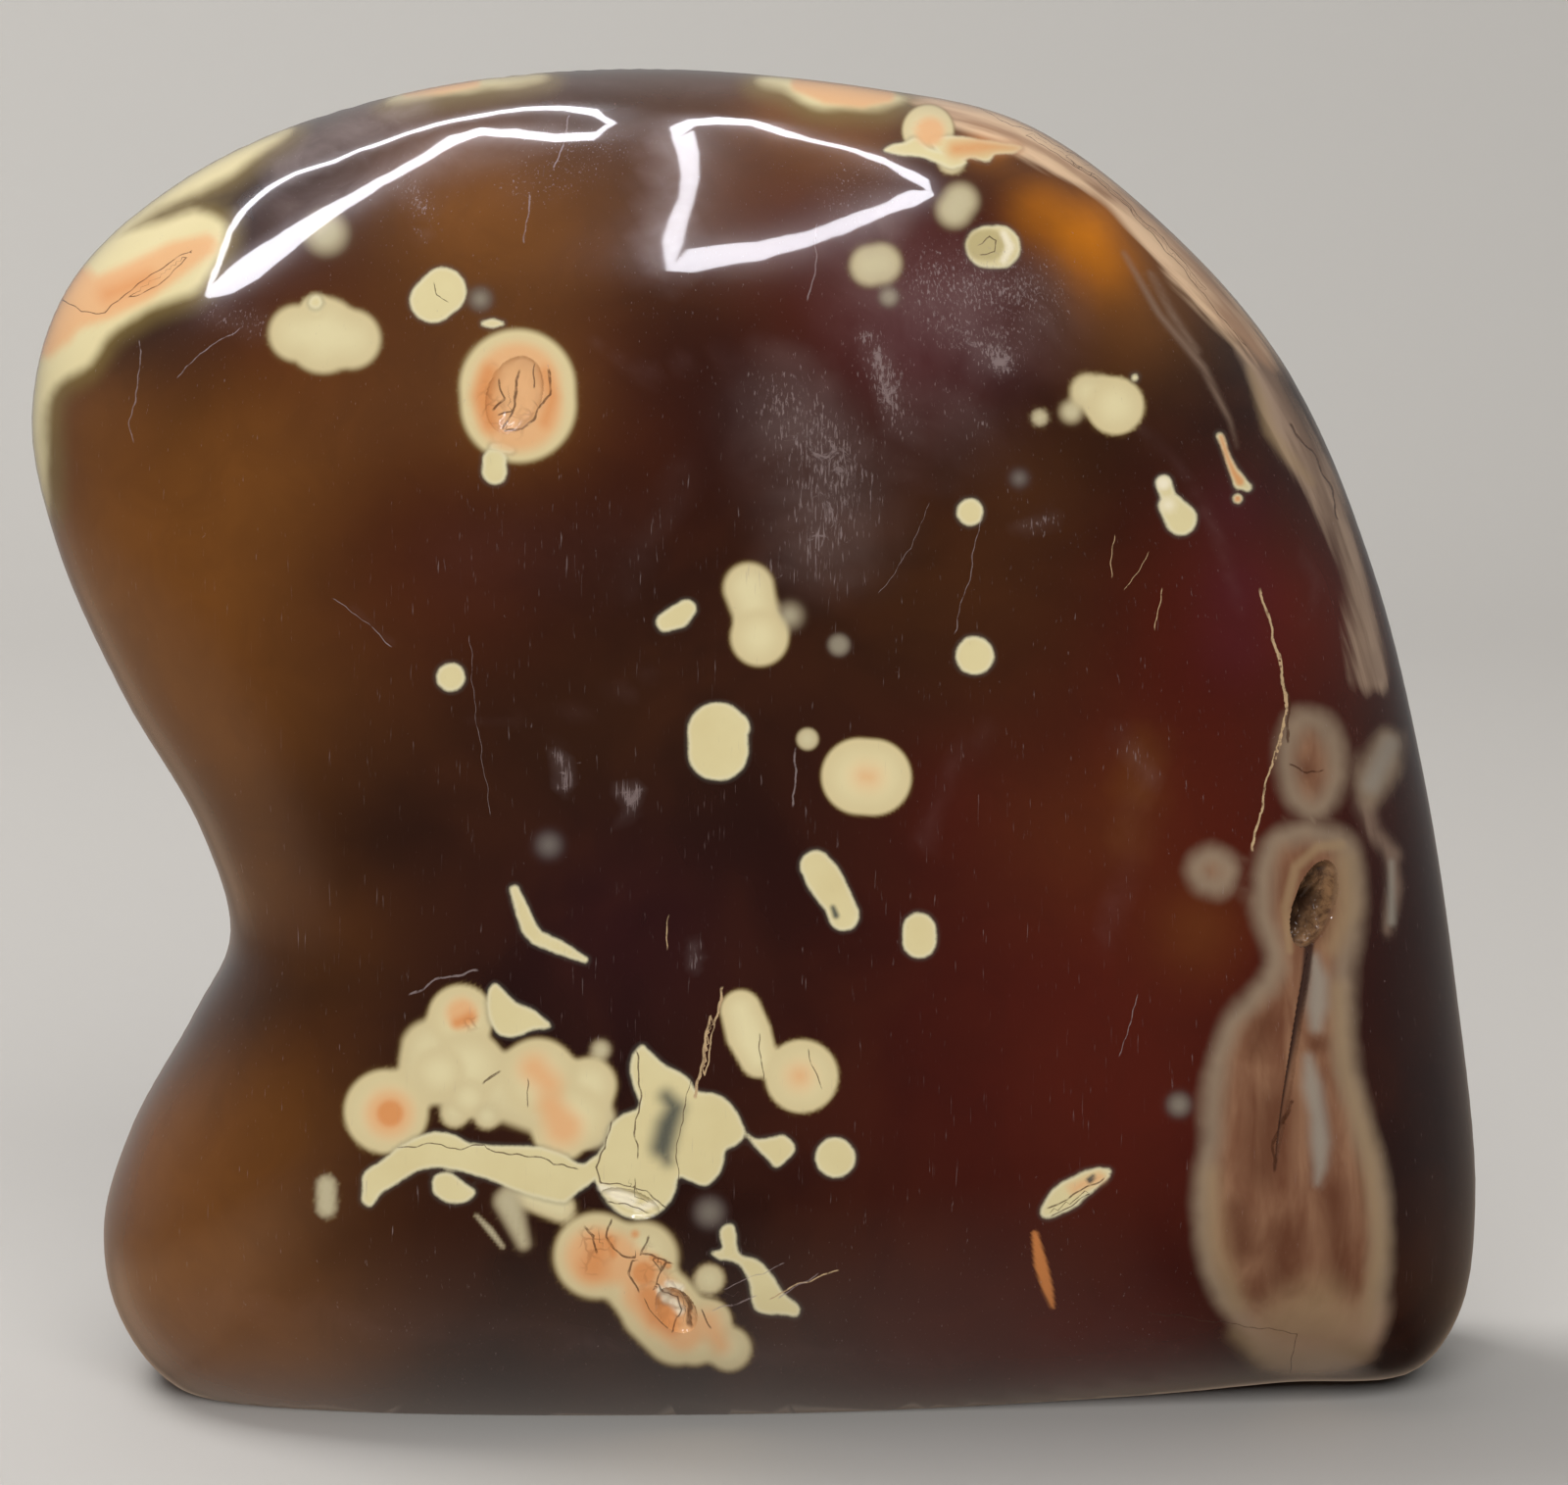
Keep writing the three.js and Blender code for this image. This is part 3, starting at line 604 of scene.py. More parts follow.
# Pits and chips of the front skin, close to where the solid has them. Narrowed is how much
# narrower one looks from straight in front than on the skin, and dark is how dark its floor is.
Pit = namedtuple("Pit", "x z length width depth lean narrowed dark")
PITS = {
    "crystal pit": Pit(37.1, 34.8, 5.7, 3.0, 2.4, 20, 0.95, 0.75),
    "ringed crater": Pit(-15.1, 68.2, 5.1, 3.5, 0.8, 20, 1, 0.0),
    "lower crater": Pit(-4.7, 8.4, 3.5, 2.4, 1.1, -30, 1, 0.12),
    "cluster chip": Pit(-7.7, 15.8, 4.0, 1.7, 0.5, -72, 1, 0.0),
    "fissure": Pit(35.6, 25.1, 13.5, 0.6, 0.4, 9.5, 0.9, 0.0),
}

# The marks by the names of their attributes, with the side that each group lies on: those with
# an edge, the sunk nodules, those that need a fine skin, those that don't, and the glows.
# Worn places and lines are all on the front.
EDGED_MARKS = {
    "cut_edge": {"front": CUT_NODULES + CUT_OUTLINES, "back": BACK_CUT_NODULES},
    "tan_edge": {"front": TAN_PATCHES, "back": BACK_TAN_PATCHES},
    "rim_edge": {"rim": CREAM_PATCHES},
    "band_edge": {"rim": EDGE_BANDS},
    "ribbon_edge": {"rim": EDGE_RIBBONS},
}
SUNK_MARKS = {"front": SUNK_NODULES, "back": BACK_SUNK_NODULES}
FINE_MARKS = {
    "peach": {"rim": PEACH_HEARTS, "back": BACK_PEACH_HEARTS},
    "orange": {"front": ORANGE_HEARTS},
    "white": {"front": WHITE_FACETS_AND_GLINT},
    "khaki": {"front": KHAKI_CORES},
    "bark": {"front": BARKED},
    "window": {"front": DARK_WINDOWS},
    "band": {"rim": TAN_BANDS},
    "pale": {"front": PALE_LINES},
    "yellow": {"front": YELLOW_RIND_AND_PAINTED_LIGHT},
    "fissure_shade": {"front": FISSURE_SHADES},
}
BROAD_MARKS = {
    "stain": {"front": BROWN_STAINS, "back": BACK_STAINS},
    "veil": {"front": VEILS},
}
GLOWS = {
    "red": {"front": RED_GLOWS, "back": BACK_RED_GLOWS},
    "honey": {"front": HONEY_GLOWS, "back": BACK_HONEY_GLOWS},
    "plum": {"front": PLUM_GLOWS},
    "amber": {"front": AMBER_GLOWS},
}
WORN_MARKS = {"scuff": SCUFFS_AND_SHEEN, "haze": HAZES_AND_GLARE}
LINES = {"crack_and_shadow": CRACKS_AND_SHADOW_LINE, "scratch": SCRATCHES, "gold": GOLD_LINES}
MARK_NAMES = (
    *EDGED_MARKS, *FINE_MARKS, *BROAD_MARKS, *GLOWS, *WORN_MARKS,
    *(line + reading for line in LINES for reading in ("_side", "_near")),
    "cloud", "depth", "heart", "edge_in", "edge_turn", "sunk", "dark",
)

MARK_REACH = 5.0  # how far from its edge a mark is read, in mm
FAR_AWAY = 50.0  # the distance of places that have no line or edge near them
SOFTENED = 1.4  # how much wider than its softness a soft edge is
CLEAN_SOFTNESS = 0.45  # softer edges than this, in mm, need no finer skin
HEART_STARTS, HEART_FADE = 0.45, 0.9  # how far in a nodule's heart starts, by the nodule's radius
LINE_ENDS, LINE_FADE = 0.7, 0.5  # how far from its middle a line is drawn, and fades, in mm
EDGE_STRETCH = 3.0  # how long the grain near the edge is drawn out around the stone, in mm a radian

# How the front passes round the edge, by y in mm: where it gives way to the back, over what
# length, where the marks of the rim start to narrow and sway, and how far behind that they end
FRONT_ENDS, FRONT_FADE, RIM_NARROWS, RIM_REACH = 3.0, 4.0, 4.0, 9.0
NARROWING = 0.07  # of the marks of the rim, in mm for each square mm behind
# How they sway along x, and up: the size, the power of the way behind that it grows with, how
# fast it changes along x, and its start
RIM_SWAY = ((0.09, 2, 0.25, 1.0), (0.28, 1, 0.7, 0.4))

# How lines waver along x, and along y: the size in mm, and how fast it changes with x and y
LINE_WAVERS = (
    ((0.07, 1.3, 2.1), (0.03, -3.1, 5.3)),
    ((0.07, 2.3, -1.1), (0.03, 5.9, 2.7)),
)


def close_to(where, corners, reach=MARK_REACH):
    """Which places lie near the corners of a mark, so that the others need no reading."""
    low, high = corners[:, :2].min(axis=0) - reach, corners[:, :2].max(axis=0) + reach
    return ((where > low) & (where < high)).all(axis=1)


def from_link(where, start, end):
    """The share of the link from start to end that each place lies along, and how far from it."""
    along = end - start
    share = np.clip((where - start) @ along / max(along @ along, 1e-9), 0, 1)
    return share, np.hypot(*(where - start - share[:, None] * along).T)


def chain_inside(where, chain):
    """How far inside a chain of round spots each place lies, in mm; below zero is outside."""
    spots = np.array(chain, float)
    close = close_to(where, spots, MARK_REACH + spots[:, 2].max())
    near = where[close]
    best = np.full(len(near), -MARK_REACH)
    followers = spots[1:] if len(spots) > 1 else spots
    for start, end in zip(spots, followers):
        share, away = from_link(near, start[:2], end[:2])
        best = np.maximum(best, start[2] + (end[2] - start[2]) * share - away)
    inside = np.full(len(where), -MARK_REACH)
    inside[close] = best
    return inside


def outline_inside(where, corners):
    """How far inside a closed curve through the corners each place lies, in mm."""
    knots = np.array(corners, float)
    corners = through_knots(knots, np.arange(0, 1, 1 / (4 * len(knots))))
    close = close_to(where, corners)
    near = where[close]
    nearest = np.full(len(near), MARK_REACH)
    within = np.zeros(len(near), bool)
    for a, b in zip(corners, np.roll(corners, -1, axis=0)):
        nearest = np.minimum(nearest, from_link(near, a, b)[1])
        crosses = (a[1] > near[:, 1]) != (b[1] > near[:, 1])
        slope = (b[0] - a[0]) / (b[1] - a[1]) if b[1] != a[1] else 0.0
        within ^= crosses & (near[:, 0] < a[0] + slope * (near[:, 1] - a[1]))
    inside = np.full(len(where), -MARK_REACH)
    inside[close] = np.where(within, nearest, -nearest)
    return inside


def line_reading(side, lines):
    """How far across the nearest line each place lies, in widths, and how far from it in mm."""
    x, y = side.where.T
    wavers = [
        sum(size * np.sin(by_x * x + by_y * y) for size, by_x, by_y in waves) for waves in LINE_WAVERS
    ]
    where = side.where + np.column_stack(wavers)
    across, near = np.full((2, len(where)), FAR_AWAY)
    for points, width in lines:
        points = np.array(side.flat(points), float)
        close = close_to(where, points)
        places = where[close]
        for a, b in zip(points, points[1:]):
            along = b - a
            away = from_link(places, a, b)[1]
            aside = ((places - a) @ np.array([-along[1], along[0]])) / np.hypot(*along)
            closer = away < near[close]
            near[close] = np.where(closer, away, near[close])
            across[close] = np.where(closer, aside / width, across[close])
    return across, near


def to_plane(marks):
    """Marks in pixels, as marks in mm on a plane square to the camera."""
    return [(x / PIXELS_PER_MM, y / PIXELS_PER_MM, *rest) for x, y, *rest in marks]


def faded(inside, softness):
    """From 0 outside an edge to 1 inside it, over the softness."""
    t = np.clip(inside / softness + 0.5, 0, 1)
    return t * t * (3 - 2 * t)


def covered(base, cover):
    """How much is covered by one cover and another over it."""
    return 1 - (1 - base) * (1 - cover)


class Side:
    """The points of the skin as the marks of one side meet them."""

    def __init__(self, shown, where, flat=list, narrowed=0.0):
        self.shown = shown  # each point's share of this side
        self.where = where  # where each point lies on the side's plane
        self.flat = flat  # takes marks to the same plane
        self.narrowed = narrowed  # how much narrower marks are at each point, in mm

    def inside(self, mark):
        """How far inside a mark each point lies, in mm. A mark of spots with a radius is a chain,
        and a mark of corners is an outline."""
        measure = chain_inside if len(mark[0]) == 3 else outline_inside
        return measure(self.where, self.flat(mark)) - self.narrowed


def sides_of(points):
    """The front, the back, and the rim: the front once more, for marks that reach round the edge
    and grow narrower and less even behind it."""
    x, y = points[:, 0], points[:, 1]
    front = 1 - faded(y - FRONT_ENDS, FRONT_FADE)
    behind = np.maximum(0, y - RIM_NARROWS)
    wrapped = 1 - faded(behind - RIM_REACH, FRONT_FADE)
    sway = [size * behind**power * np.sin(fast * x + start) for size, power, fast, start in RIM_SWAY]
    picture = in_picture(points) / PIXELS_PER_MM
    return {
        "front": Side(front, picture, to_plane),
        "rim": Side(wrapped, picture + np.column_stack(sway), to_plane, NARROWING * behind**2),
        "back": Side(1 - front, points[:, [0, 2]]),
    }


def edge_distance(sides, groups):
    """The distance inside the nearest clean edge, in mm."""
    inside = -MARK_REACH
    for name, group in groups.items():
        side = sides[name]
        hidden = 4 * MARK_REACH * (1 - side.shown)
        for mark in group:
            inside = np.maximum(inside, side.inside(mark) - hidden)
    return inside


def soft_cover(sides, groups):
    """How much soft marks cover each point, from 0 to 1."""
    total = 0.0
    for name, group in groups.items():
        side = sides[name]
        for chain, softness in group:
            total = covered(total, faded(side.inside(chain), softness * SOFTENED) * side.shown)
    return total


def glow(sides, groups):
    """How much light the glows give each point, from 0 to 1."""
    total = 0.0
    for name, group in groups.items():
        side = sides[name]
        for x, y, radius, strength in side.flat(group):
            away = np.hypot(side.where[:, 0] - x, side.where[:, 1] - y)
            total = covered(total, strength * np.exp(-((away / radius) ** 2)) * side.shown)
    return total


def sunk_nodules(sides):
    """How much nodules cloud each point, how deep they lie there, and how near their hearts are."""
    cloud, depth, heart = np.zeros((3, len(sides["front"].shown)))
    for name, group in SUNK_MARKS.items():
        side = sides[name]
        for chain, softness, deep in group:
            inside = side.inside(chain)
            cover = faded(inside, softness * SOFTENED) * side.shown
            size = max(radius for _, _, radius in chain)
            over = cover / np.maximum(covered(cloud, cover), 1e-6)
            depth += (deep - depth) * over
            heart += (faded(inside - HEART_STARTS * size, HEART_FADE * size) - heart) * over
            cloud = covered(cloud, cover)
    return {"cloud": cloud, "depth": depth, "heart": heart}


def read_marks(points):
    """Every mark of the stone, as one number for each point of its skin."""
    sides = sides_of(points)
    front = sides["front"]
    marks = sunk_nodules(sides)
    readings = ((edge_distance, EDGED_MARKS), (soft_cover, FINE_MARKS | BROAD_MARKS), (glow, GLOWS))
    for read, marked in readings:
        marks.update({name: read(sides, groups) for name, groups in marked.items()})
    for name, group in WORN_MARKS.items():
        worn = 0.0
        for chain, softness, strength in group:
            cover = faded(front.inside(chain), softness * SOFTENED)
            worn = np.maximum(worn, cover * strength * front.shown)
        marks[name] = worn
    for name, lines in LINES.items():
        across, near = line_reading(front, lines)
        marks[name + "_side"] = across
        marks[name + "_near"] = np.clip((LINE_ENDS - near) / LINE_FADE, 0, 1) * front.shown
    x, z = (points + OFF_CENTRE)[:, [0, 2]].T
    marks["edge_in"] = read_outline(x, z)[0]
    marks["edge_turn"] = np.arctan2(z - HEART[1], x - HEART[0]) * EDGE_STRETCH
    return marks


def nearer(best, side, mark, reach=0.0):
    """The nearer of the nearest edge so far and this mark's, which reaches out to both sides."""
    reading = np.abs(side.inside(mark)) - reach
    return np.where(side.shown > 0, np.minimum(best, reading), best)


def mark_detail(points):
    """How near the closest clean edge or line is, and the closest soft edge, in mm."""
    sides = sides_of(points)
    clean, soft = np.full((2, len(points)), FAR_AWAY)
    lines = line_reading(sides["front"], CRACKS_AND_SHADOW_LINE + SCRATCHES + GOLD_LINES)[1]
    clean = np.where(sides["front"].shown > 0, lines, clean)
    for attribute, groups in EDGED_MARKS.items():
        for name, group in groups.items():
            for mark in group:
                if attribute == "cut_edge":
                    clean = nearer(clean, sides[name], mark)
                else:
                    soft = nearer(soft, sides[name], mark)
    for groups in (SUNK_MARKS, *FINE_MARKS.values()):
        for name, group in groups.items():
            for chain, softness, *_ in group:
                if softness < CLEAN_SOFTNESS:
                    clean = nearer(clean, sides[name], chain)
                else:
                    soft = nearer(soft, sides[name], chain, softness * SOFTENED / 2)
    return clean, soft


def pit_place(points, pit):
    """Places in a pit's own length and width, where its edge is at a radius of 1."""
    turn = math.radians(pit.lean)
    dx, dz = points[:, 0] + OFF_CENTRE[0] - pit.x, points[:, 2] - pit.z
    along = dx * math.sin(turn) + dz * math.cos(turn)
    across = dx * math.cos(turn) - dz * math.sin(turn)
    return np.column_stack([across / (pit.width / 2 * pit.narrowed), along / (pit.length / 2)])


def pit_detail(points):
    """How near the closest pit's edge or floor is, in mm."""
    near = FAR_AWAY
    for pit in PITS.values():
        radius = np.hypot(*pit_place(points, pit).T)
        near = np.minimum(near, (radius - 1) * pit.width / 2)
    return np.where(points[:, 1] < FRONT_ENDS, near, FAR_AWAY)


CRYSTALS = 70  # in a pit
CHIP_STEPS = 2.2  # in half the width of the chip


def crystals(place, seed, size):
    """Flat-sided crystal points standing up from a pit's floor, from 0 to 1."""
    random = np.random.default_rng(seed)
    tips = random.uniform(-1.2, 1.2, (CRYSTALS, 2))
    turns = random.uniform(0, math.pi, CRYSTALS)
    heights = random.uniform(0.45, 1.0, CRYSTALS)
    rise = np.zeros(len(place))
    for tip, turn, height in zip(tips, turns, heights):
        steep = 0.0
        for side in range(3):
            angle = turn + side * math.pi / 3
            facing = np.array([math.cos(angle), math.sin(angle)])
            steep = np.maximum(steep, np.abs((place - tip) @ facing))
        rise = np.maximum(rise, height - steep / size)
    return rise


def pit_floors(points):
    """How deep each point sinks in the pits, craters, chip and fissure, in mm, and how dark it is."""
    sunk, dark = np.zeros((2, len(points)))
    for name, pit in PITS.items():
        place = pit_place(points, pit)
        radius = np.hypot(*place.T)
        bowl = np.sqrt(np.maximum(0, 1 - radius**2))
        floor = bowl
        if name == "crystal pit":
            floor = bowl - 0.36 * crystals(place, seed=5, size=0.42) * np.minimum(1, bowl * 1.6)
        elif name == "ringed crater":
            floor = bowl * (0.7 + 0.5 * crystals(place * np.array([1.0, 0.7]), seed=8, size=0.9))
        elif name == "lower crater":
            floor = bowl - 0.5 * crystals(place, seed=12, size=0.6) * bowl
        elif name == "cluster chip":
            steps = np.floor((place[:, 0] + 1) * CHIP_STEPS) / CHIP_STEPS
            floor = np.minimum(1, bowl * 1.5) * (0.55 + 0.25 * steps)
        in_pit = (radius < 1) & (points[:, 1] < FRONT_ENDS)
        sunk = np.where(in_pit, np.maximum(sunk, pit.depth * floor), sunk)
        dark = np.where(in_pit, pit.dark * np.minimum(1, 3 * bowl), dark)
    return sunk, dark


def read_places(mesh, kind="co"):
    places = np.empty(len(mesh.vertices) * 3)
    mesh.vertices.foreach_get(kind, places)
    return places.reshape(-1, 3)


def divide(mesh, points, chosen_points):
    """Halves the edges of the faces that touch the chosen points, and returns the new skin."""
    corners = np.empty(len(mesh.loops), int)
    mesh.loops.foreach_get("vertex_index", corners)
    faces = chosen_points[corners.reshape(-1, 3)].any(axis=1)
    edges = np.empty(len(mesh.loops), int)
    mesh.loops.foreach_get("edge_index", edges)
    of_chosen = np.repeat(faces, 3)
    for elements, indices in ((mesh.vertices, corners), (mesh.edges, edges)):
        selected = np.zeros(len(elements), bool)
        selected[indices[of_chosen]] = True
        elements.foreach_set("select", selected)
    mesh.polygons.foreach_set("select", faces)
    bpy.ops.object.mode_set(mode="EDIT")
    bpy.ops.mesh.subdivide(number_cuts=1)
    bpy.ops.mesh.select_all(action="SELECT")
    bpy.ops.mesh.quads_convert_to_tris()
    bpy.ops.object.mode_set(mode="OBJECT")
    places = read_places(mesh)
    places /= np.linalg.norm(places, axis=1)[:, None]
    mesh.vertices.foreach_set("co", places.ravel())
    return np.vstack([points, ground_points(places[len(points):])])


SPHERE_DETAIL = 6  # how finely the sphere is divided that the skin is made from
SMOOTH_BELOW = math.radians(38)  # flatter edges than this between faces are shaded smooth
# How near to a clean edge, a soft edge and a pit the skin is made finer, in mm, pass by pass, and
# how near to the girdle, as a share of the way to the middle of a face
SKIN_PASSES = (
    (1.9, 1.6, 1.5, 0.2),
    (0.5, 0.12, 0.65, 0.0),
    (0.13, -0.45, 0.3, 0.0),
    (-1.0, -1.0, 0.12, 0.0),
)
GIRDLE_SEEN = 0.07  # how far behind the girdle the camera sees the outline, as such a share
INSIDE = 1 - 1e-6  # keeps the skin a hair inside the solid's box


def make_stone():
    """The stone's skin, finer where its marks have edges, with its pits sunk and its foot cut flat."""
    bpy.ops.object.select_all(action="DESELECT")
    bpy.ops.mesh.primitive_ico_sphere_add(subdivisions=SPHERE_DETAIL, radius=1)
    stone = bpy.context.object
    stone.name = "polished_stone"
    mesh = stone.data
    bpy.ops.object.mode_set(mode="EDIT")
    bpy.ops.mesh.select_mode(type="FACE")
    bpy.ops.object.mode_set(mode="OBJECT")
    points = ground_points(read_places(mesh))
    for clean_reach, soft_reach, pit_reach, rim_reach in SKIN_PASSES:
        clean, soft = mark_detail(points)
        chosen = (clean < clean_reach) | (soft < soft_reach) | (pit_detail(points) < pit_reach)
        chosen |= np.abs(read_places(mesh)[:, 1] - GIRDLE_SEEN) < rim_reach
        points = divide(mesh, points, chosen)
    mesh.vertices.foreach_set("co", points.ravel())
    mesh.update()
    sunk, dark = pit_floors(points)
    carved = points - read_places(mesh, "normal") * sunk[:, None]
    carved *= np.array(cad_box[1]) / MM * INSIDE / np.abs(carved).max(axis=0)
    for name, values in {**read_marks(points), "sunk": sunk, "dark": dark}.items():
        layer = mesh.attributes.new(name, "FLOAT", "POINT")
        layer.data.foreach_set("value", values.astype(np.float32))
    mesh.vertices.foreach_set("co", (carved * MM).ravel())
    mesh.update()

    bpy.ops.object.mode_set(mode="EDIT")
    bpy.ops.mesh.select_all(action="SELECT")
    bpy.ops.mesh.bisect(
        plane_co=(0, 0, 0), plane_no=(0, 0, -1), use_fill=True, clear_outer=True, threshold=1e-7
    )
    bpy.ops.mesh.select_all(action="SELECT")
    bpy.ops.mesh.remove_doubles(threshold=0.01 * MM)
    bpy.ops.mesh.quads_convert_to_tris()
    bpy.ops.object.mode_set(mode="OBJECT")
    bpy.ops.object.shade_smooth_by_angle(angle=SMOOTH_BELOW)
    return stone


def linear(hex_colour):
    """An sRGB hex colour, made linear."""
    channels = [int(hex_colour[i:i + 2], 16) / 255 for i in (1, 3, 5)]
    return (*[c / 12.92 if c <= 0.04045 else ((c + 0.055) / 1.055) ** 2.4 for c in channels], 1.0)


def add_node(tree, kind, sockets=(), out=0, **settings):
    """Adds a node with its settings. Its sockets are given in order, or else by number or name, and
    each gets a hex colour, a number or another node's output."""
    node = tree.nodes.new("ShaderNode" + kind)
    for name, value in settings.items():
        setattr(node, name, value)
    for socket, value in sockets.items() if isinstance(sockets, dict) else enumerate(sockets):
        if isinstance(value, bpy.types.NodeSocket):
            tree.links.new(value, node.inputs[socket])
        else:
            node.inputs[socket].default_value = linear(value) if isinstance(value, str) else value
    return node.outputs[out] if node.outputs else None


def new_material(name):
    material = bpy.data.materials.new(name)
    material.use_nodes = True
    material.node_tree.nodes.clear()
    return material, partial(add_node, material.node_tree)


# Settings that many nodes share. The sockets of a MapRange are its value, its two ends, and what
# they become, and a Mix of colours has its share at socket 0 and its colours at 6 and 7.
RAMP = {"interpolation_type": "SMOOTHSTEP"}
BLEND = {"data_type": "RGBA", "out": 2}
TIMES = {"operation": "MULTIPLY"}
TIMES_PLUS = {"operation": "MULTIPLY_ADD"}
MOST = {"operation": "MAXIMUM"}

# The two bands of the edge: how far in, in mm, they come to full strength, and their colours
EDGE_GRAINS = (
    ("ribbon_edge", 0.9, "#836a58", "#ac927c"),
    ("band_edge", 0.6, "#b08a6c", "#ecc9a4"),
)
GLOW_COLOURS = {
    "red": "#551c13",
    "honey": "#784a20",
    "plum": "#4a1c26",
    "amber": "#c87404",
}
HEART_COLOURS = (
    ("peach", 0.92, "#e4ae7b"),
    ("orange", 0.75, "#d98a4c"),
    ("khaki", 0.8, "#b6a674"),
    ("white", 0.85, "#f4ead0"),
    # painted shade inside the fissure
    ("fissure_shade", 0.92, "#35221d"),
    ("window", 0.9, "#3a4243"),
)


def polished_agate():
    """Chalcedony, ground and buffed to a wet gloss: a clear dark body with pale nodules close under
    a sharp reflection, worn places of scratches and dry film, and a haze around the bright loops that
    is painted glare and painted reflection."""
    material, add = new_material("polished_agate")
    mark = {name: add("Attribute", out=2, attribute_name=name) for name in MARK_NAMES}
    place = add("TexCoord", out=3)
    noise = {}
    for name, size_mm, detail, roughness, warp in (
        ("clouds", 14, 3, 0.55, 0.6),
        ("drifts", 5, 3, 0.6, 1.2),
        ("wobble", 3.2, 2, 0.5, 0.0),
        ("fine", 0.5, 3, 0.6, 0.0),
        ("film", 1.6, 9, 0.8, 1.2),
        ("specks", 0.9, 4, 0.8, 0.4),
    ):
        sockets = {0: place, 2: 1 / (size_mm * MM), 3: detail, 4: roughness, 8: warp}
        noise[name] = add("TexNoise", sockets)
    for name, size_mm, squeeze in (("streaks", 1.6, 0.25), ("hairs", 0.13, 0.05)):
        stretched = add("Mapping", {0: place, 2: (0, 0.1, 0), 3: (1, 1, squeeze)})
        noise[name] = add("TexNoise", {0: stretched, 2: 1 / (size_mm * MM), 3: 3, 4: 0.55, 8: 0.4})
    around_edge = add("CombineXYZ", [mark["edge_in"], mark["edge_turn"]])
    noise["grain"] = add("TexNoise", {0: around_edge, 2: 0.8, 3: 4, 4: 0.5, 8: 0.2})

    # The clear body: near black where it is thick, honey and red where light comes through
    cloudy = add("MapRange", [noise["clouds"], 0.35, 0.7], **RAMP)
    body = add("Mix", {0: cloudy, 6: "#22120f", 7: "#341b12"}, **BLEND)
    layers = []  # over the body, from the lowest up: how much each covers, and its colour
    for name, glow_colour in GLOW_COLOURS.items():
        patchy = add("MapRange", [noise["drifts"], 0.2, 0.7, 0.85], **RAMP)
        shown = add("Math", [mark[name], patchy], **TIMES)
        layers.append((shown, glow_colour))
    smoky = add("MapRange", [noise["drifts"], 0.3, 0.7, 0.03, 0.16], **RAMP)
    smoky = add("Math", [mark["veil"], smoky], **TIMES)
    layers.append((smoky, "#7a5f5c"))

    # Bands and patches of tan stone on the right end, paler near the foot by painted light
    streaky = add("MapRange", [noise["streaks"], 0.2, 0.8], **RAMP)
    grain = add("MapRange", [noise["grain"], 0.36, 0.6], **RAMP)
    wobble = add("Math", [noise["wobble"], 0.8, -0.4], **TIMES_PLUS)
    for name, within, dark_grain, pale_grain in EDGE_GRAINS:
        band_colour = add("Mix", {0: grain, 6: dark_grain, 7: pale_grain}, **BLEND)
        band_edge = add("Math", [grain, 0.5, mark[name]], **TIMES_PLUS)
        banded = add("MapRange", [band_edge, -0.1, within, 0.0, 0.96], **RAMP)
        layers.append((banded, band_colour))
    wisps = add("MapRange", {0: grain, 3: 0.25, 4: 0.75})
    wisps = add("Math", [mark["band"], wisps], **TIMES)
    layers.append((wisps, "#8d7564"))
    tan_edge = add("Math", [mark["tan_edge"], wobble], operation="ADD")
    rim = add("Mix", {0: noise["wobble"], 6: "#7c6958", 7: "#9a846d"}, **BLEND)
    inner = add("Mix", {0: streaky, 6: "#704834", 7: "#936d53"}, **BLEND)
    stained = add("Math", [mark["stain"], 0.7], **TIMES)
    inner = add("Mix", {0: stained, 6: inner, 7: "#5a3423"}, **BLEND)
    deep_in = add("MapRange", [tan_edge, 0.5, 2.1], **RAMP)
    tan = add("Mix", {0: deep_in, 6: rim, 7: inner}, **BLEND)
    height = add("SeparateXYZ", [place], out=2)
    # Painted light: within a few mm of the foot the tan turns paler, standing in for light bounced up from
    # the table.
    painted_light_near_foot = add("MapRange", [height, 4.5 * MM, 9.5 * MM, 0.7, 0.0], **RAMP)
    tan = add("Mix", {0: painted_light_near_foot, 6: tan, 7: "#b8957d"}, **BLEND)
    in_patch = add("MapRange", [tan_edge, -0.75, 0.75], **RAMP)
    layers.append((in_patch, tan))
    # The last yellow patch is painted light at the bottom of the right end; the pale lines are the stone's
    # own.
    for name, strength, line_colour in (("yellow", 0.55, "#a58b68"), ("pale", 0.8, "#999184")):
        shown = add("Math", [mark[name], strength], **TIMES)
        layers.append((shown, line_colour))

    # The cream rind of the top left, which thins to olive
    rind = add("Math", [wobble, 0.6, mark["rim_edge"]], **TIMES_PLUS)
    thin_rind = add("MapRange", [rind, -1.8, 0.3, 0.0, 0.85], **RAMP)
    layers.append((thin_rind, "#7a6636"))
    full_rind = add("MapRange", [rind, -0.45, 0.6], **RAMP)
    layers.append((full_rind, "#e0d2a2"))

    # Nodules under the skin, greyer and browner the deeper they lie
    tone = add("Math", [wobble, 0.4, mark["heart"]], **TIMES_PLUS, use_clamp=True)
    sunk_colour = add("Mix", {0: tone, 6: "#dac99a", 7: "#e7daab"}, **BLEND)
    sunk_colour = add("Mix", {0: mark["depth"], 6: sunk_colour, 7: "#77706c"}, **BLEND)
    clouded = add("Math", [mark["depth"], -0.55, 1.0], **TIMES_PLUS)
    clouded = add("Math", [mark["cloud"], clouded], **TIMES)
    around = add("MapRange", [clouded, 0.0, 0.4, 0.0, 0.7], **RAMP)
    halo = add("Mix", {0: mark["depth"], 6: "#7b6236", 7: "#4a4044"}, **BLEND)
    layers.append((around, halo))
    clouded = add("MapRange", [clouded, 0.1, 0.8], **RAMP)
    layers.append((clouded, sunk_colour))

